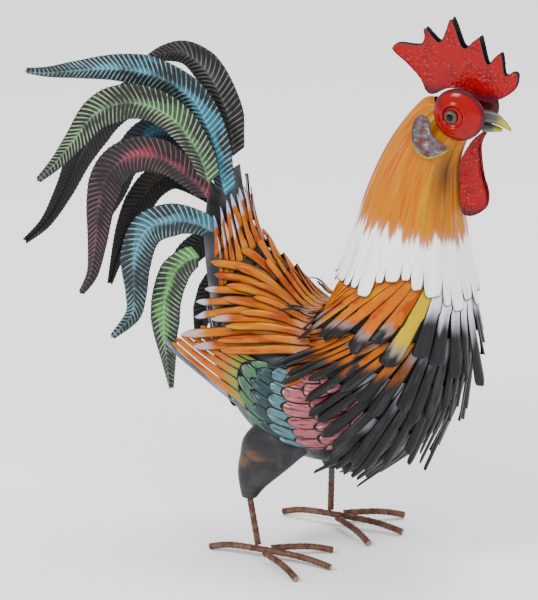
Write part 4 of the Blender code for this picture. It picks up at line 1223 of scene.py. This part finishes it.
lobe_paint = Paint("lobe_paint", (132, 118, 126), 0.3, 0.15)
fine = lobe_paint.noise(130, (1, 1.6, 1), detail=4.0)
lobe_paint.over((140, 74, 50), fine, 0.50, 0.60, 0.9)
lobe_paint.over((186, 178, 190), fine, 0.42, 0.34, 0.8)
lobe_paint.over((94, 98, 108), "edge", 0.12, 0.42)
lobe_paint.over((186, 192, 60), "lay", 0.42, 0.20, within=lobe_paint.ramp("edge", 0.12, 0.42))
lobe_paint.dent(lobe_paint.noise(260), 0.0008)

for word, side in (("right", -1), ("left", 1)):
    comb_half = cut_plate(COMB, comb_place, side, 0.0008)
    comb_half.piece(f"{word}_comb", "red_head", [comb_paint, under_paint], [f"{word}_comb_half"], GAUGE)
    wattle = cut_plate(WATTLE, lambda x, z: WATTLE_OUT, side, 0.0006)
    wattle.piece(f"{word}_wattle_drop", "red_head", [comb_paint], [f"{word}_wattle"], GAUGE)
    lobe = cut_plate(EAR_LOBE, lobe_place, side, 0.0012)
    lobe.piece(f"{word}_lobe", "ear_lobes", [lobe_paint], [f"{word}_ear_lobe"], GAUGE)

# Beak
# Two cast horns, the upper hooked over the lower, fixed between the cheeks. They are painted grey where they
# leave the cheeks and yellow at the tip, and lacquered.
BEAK_RINGS = 24
BEAK_SIDES = 28
# Sections of each horn from the skull to its tip: x, z, half width and half depth
BEAKS = (
    ("upper", ((0.2045, 0.4815, 0.0083, 0.0060), (0.217, 0.4800, 0.0060, 0.0052),
               (0.226, 0.4758, 0.0036, 0.0040), (0.2325, 0.4708, 0.0012, 0.0018))),
    ("lower", ((0.2045, 0.4695, 0.0073, 0.0046), (0.215, 0.4698, 0.0052, 0.0034),
               (0.223, 0.4695, 0.0022, 0.0018))),
)
beak_paint = Paint("beak_paint", (122, 122, 118), 0.28, lacquer=0.4)
streak = beak_paint.noise(90, (0.4, 1, 1), space="object")
along = beak_paint.sum("lay", streak, 0.35)
beak_paint.over((206, 206, 66), along, 0.55, 0.80)
beak_paint.over((66, 66, 68), along, 0.36, 0.12)
beak_paint.dent(beak_paint.noise(300, space="object"), 0.0002)

for word, sections in BEAKS:
    horn = Metalwork()
    rings = []
    for k in range(BEAK_RINGS + 1):
        t = k / BEAK_RINGS
        x, z, half_width, half_depth = catmull(sections, t * (len(sections) - 1))
        rings.append([(Vector((x, half_width * math.cos(b), z - half_depth * math.sin(b))), (t, 0.0, 0.5, 0.0),
                       (t * 0.03, -b * 0.002, 0.0)) for b in circle(BEAK_SIDES)])
    horn.tube(rings, (0.0, 0.0006))
    horn.piece(f"{word}_horn", "beak", [beak_paint], [f"{word}_beak"])

# Thighs
# A flattened cone of steel sheet under each side of the body, welded to it at the top and closed round the
# shank at the bottom. It is painted dark grey, and rust shows in a patch half way down.
FOOT_X = 0.013
FOOT_Y = 0.059
THIGH_BOTTOM = 0.064
THIGH_TOP = 0.146
THIGH_Y = (0.056, 0.0467)
THIGH_RINGS = 30
THIGH_SIDES = 40
# Sections: share of its height; back and front x off the foot and its lean; half width
THIGH = ((0.0, -0.0085, 0.0075, 0.007), (0.15, -0.0135, 0.0155, 0.0095), (0.32, -0.0175, 0.0285, 0.0125),
         (0.53, -0.0180, 0.0440, 0.0155), (0.76, -0.0165, 0.0575, 0.017), (1.0, -0.0020, 0.0400, 0.009))
# Each leg's side, the place of its foot and how far its shank leans forward
LEGS = (("right", -1, -FOOT_X, -0.0105), ("left", 1, FOOT_X, 0.0025))

thigh_paint = Paint("thigh_paint", (84, 85, 88), 0.42, 0.3)
cloud = thigh_paint.noise(30, detail=6.0, space="object", distort=0.4)
thigh_paint.over((58, 58, 61), cloud, 0.40, 0.55, 0.0, 0.8)
rust = thigh_paint.noise(22, (1, 1, 1.6), detail=6.0, space="object", distort=0.4)
patch = thigh_paint.sum(rust, "relief", 0.30)
thigh_paint.over((150, 112, 84), patch, 0.66, 0.82, 0.8)
thigh_paint.over((120, 78, 52), patch, 0.78, 0.92, 0.7)
thigh_paint.gloss(cloud, 0.34, 0.55).dent(thigh_paint.noise(300, space="object"), 0.0002)

for word, side, forward, lean in LEGS:
    cone = Metalwork()
    rings = []
    for k in range(THIGH_RINGS + 1):
        share, behind, ahead, half = catmull(THIGH, (len(THIGH) - 1) * k / THIGH_RINGS)
        middle = forward + lean * (1 - share) + (behind + ahead) / 2
        y, z = side * mixed(*THIGH_Y, share), mixed(THIGH_BOTTOM, THIGH_TOP, share)
        ring = []
        for b in circle(THIGH_SIDES):
            rusty = math.exp(-((share - 0.54) / 0.15) ** 2) * max(0.0, math.cos(b - 1.9 * side))
            place = Vector((middle + (ahead - behind) / 2 * math.cos(b), y + half * math.sin(b), z))
            ring.append((place, (share, 0.0, 0.5, rusty), (share * 0.06, b * 0.01, 0.0)))
        rings.append(ring)
    cone.tube(rings)
    cone.piece(f"{word}_thigh_cone", "thighs", [thigh_paint], [f"{word}_thigh"])

# Shanks and toes
# Ribbed reinforcing bar, welded at the hub of each foot, the middle and rear toes as one bent bar. The bars
# are brown with rust and their sawn ends are pale; the left shank is painted grey where it enters the thigh.
BAR_RADIUS = 0.0036
BAR_CORE = 0.0031
BAR_SIDES = 16
RIB_PITCH = 0.0055
RINGS_PER_RIB = 6
HUB_HEIGHT = 0.0102
MIDDLE_TOE = 0.080
SIDE_TOE = 0.076
REAR_TOE = 0.053
TOE_SPREAD = 35
CLEARANCE = 0.0004
SHANK_GAP = 0.0012
# Share of the left shank that is painted, from its top
PAINTED_SHARE = 0.35
# Share of a toe's length, and of its fall to the ground
TOE_BEND = ((0.0, 0.0), (0.45, 0.06), (0.70, 0.30), (0.88, 0.68), (1.0, 1.0))

bar_paint = Paint("bar_paint", (146, 100, 80), 0.6, 0.2)
cloud = bar_paint.noise(120, detail=5.0, space="object")
bar_paint.over((92, 60, 48), cloud, 0.46, 0.64, 0.7)
bar_paint.over((168, 138, 122), cloud, 0.56, 0.44, 0.6, 0.1, within="relief")
bar_paint.over((196, 176, 156), "edge", 0.4, 0.6)
bar_paint.over((120, 122, 126), "tone", 0.4, 0.6)
bar_paint.gloss(cloud, 0.45, 0.7).dent(bar_paint.noise(600, space="object"), 0.0002)


def toe_line(hub, angle, begin, length):
    """Centre line of a toe bar: level from begin, then bent down until its tip lies on the ground."""
    way = Vector((math.cos(math.radians(angle)), math.sin(math.radians(angle)), 0))
    line = []
    for share, drop in TOE_BEND:
        spot = hub + way * mixed(begin, length, share)
        line.append(Vector((spot.x, spot.y, HUB_HEIGHT - (HUB_HEIGHT - BAR_RADIUS) * drop)))
    return line


def ribbed_bar(name, line, node, painted=0.0):
    """Bar along a smooth line, with two ribs along it and slanting ribs between, its upper share painted."""
    points = [tuple(p) for p in line]
    last = len(points) - 1
    long = sum((b - a).length for a, b in zip(line, line[1:]))
    count = round(long / RIB_PITCH) * RINGS_PER_RIB
    rings = []
    for k in range(count + 1):
        t = k / count
        back, here, ahead = (Vector(catmull(points, t * last + step)) for step in (-0.04, 0.0, 0.04))
        way = (ahead - back).normalized()
        level = way.cross(Vector((0.0, 0.0, 1.0)))
        level = level.normalized() if level.length > 0.3 else Vector((0.0, -1.0, 0.0))
        up = level.cross(way).normalized()
        sawn = 1.0 if k in (0, count) else 0.0
        ring = []
        for b in circle(BAR_SIDES):
            slant = (t * long / RIB_PITCH + 0.5 * abs(math.sin(b / 2 + 0.4))) % 1
            cross_rib = smooth(1 - abs(slant - 0.5) / 0.24)
            long_rib = smooth(1 - abs(math.sin(b)) / 0.35)
            rib = max(cross_rib, long_rib)
            radius = mixed(BAR_CORE, BAR_RADIUS, rib)
            place = here + level * radius * math.cos(b) + up * radius * math.sin(b)
            ring.append((place, (t, sawn, 1.0 if t > 1 - painted else 0.0, rib), (t * long, b * radius, 0.0)))
        rings.append(ring)
    bar = Metalwork()
    bar.tube(rings)
    bar.piece(name, "ribbed_bar", [bar_paint], [node])


for word, side, forward, lean in LEGS:
    hub = Vector((forward, side * FOOT_Y, HUB_HEIGHT))
    middle_bar = toe_line(hub, 180, 0.0, REAR_TOE)[:0:-1] + toe_line(hub, 0, 0.0, MIDDLE_TOE)
    ribbed_bar(f"{word}_middle_and_rear_toe", middle_bar, f"{word}_middle_toe")
    begin = (2 * BAR_RADIUS + CLEARANCE) / math.sin(math.radians(TOE_SPREAD))
    for place, angle in (("outer", side * TOE_SPREAD), ("inner", -side * TOE_SPREAD)):
        ribbed_bar(f"{word}_{place}_toe_bar", toe_line(hub, angle, begin, SIDE_TOE), f"{word}_{place}_toe")
    ankle = Vector((forward + lean, side * THIGH_Y[0], THIGH_BOTTOM - SHANK_GAP))
    foot = Vector((hub.x, hub.y, HUB_HEIGHT + BAR_RADIUS + SHANK_GAP))
    ribbed_bar(f"{word}_shank_bar", [foot, ankle], f"{word}_shank", PAINTED_SHARE if side > 0 else 0.0)
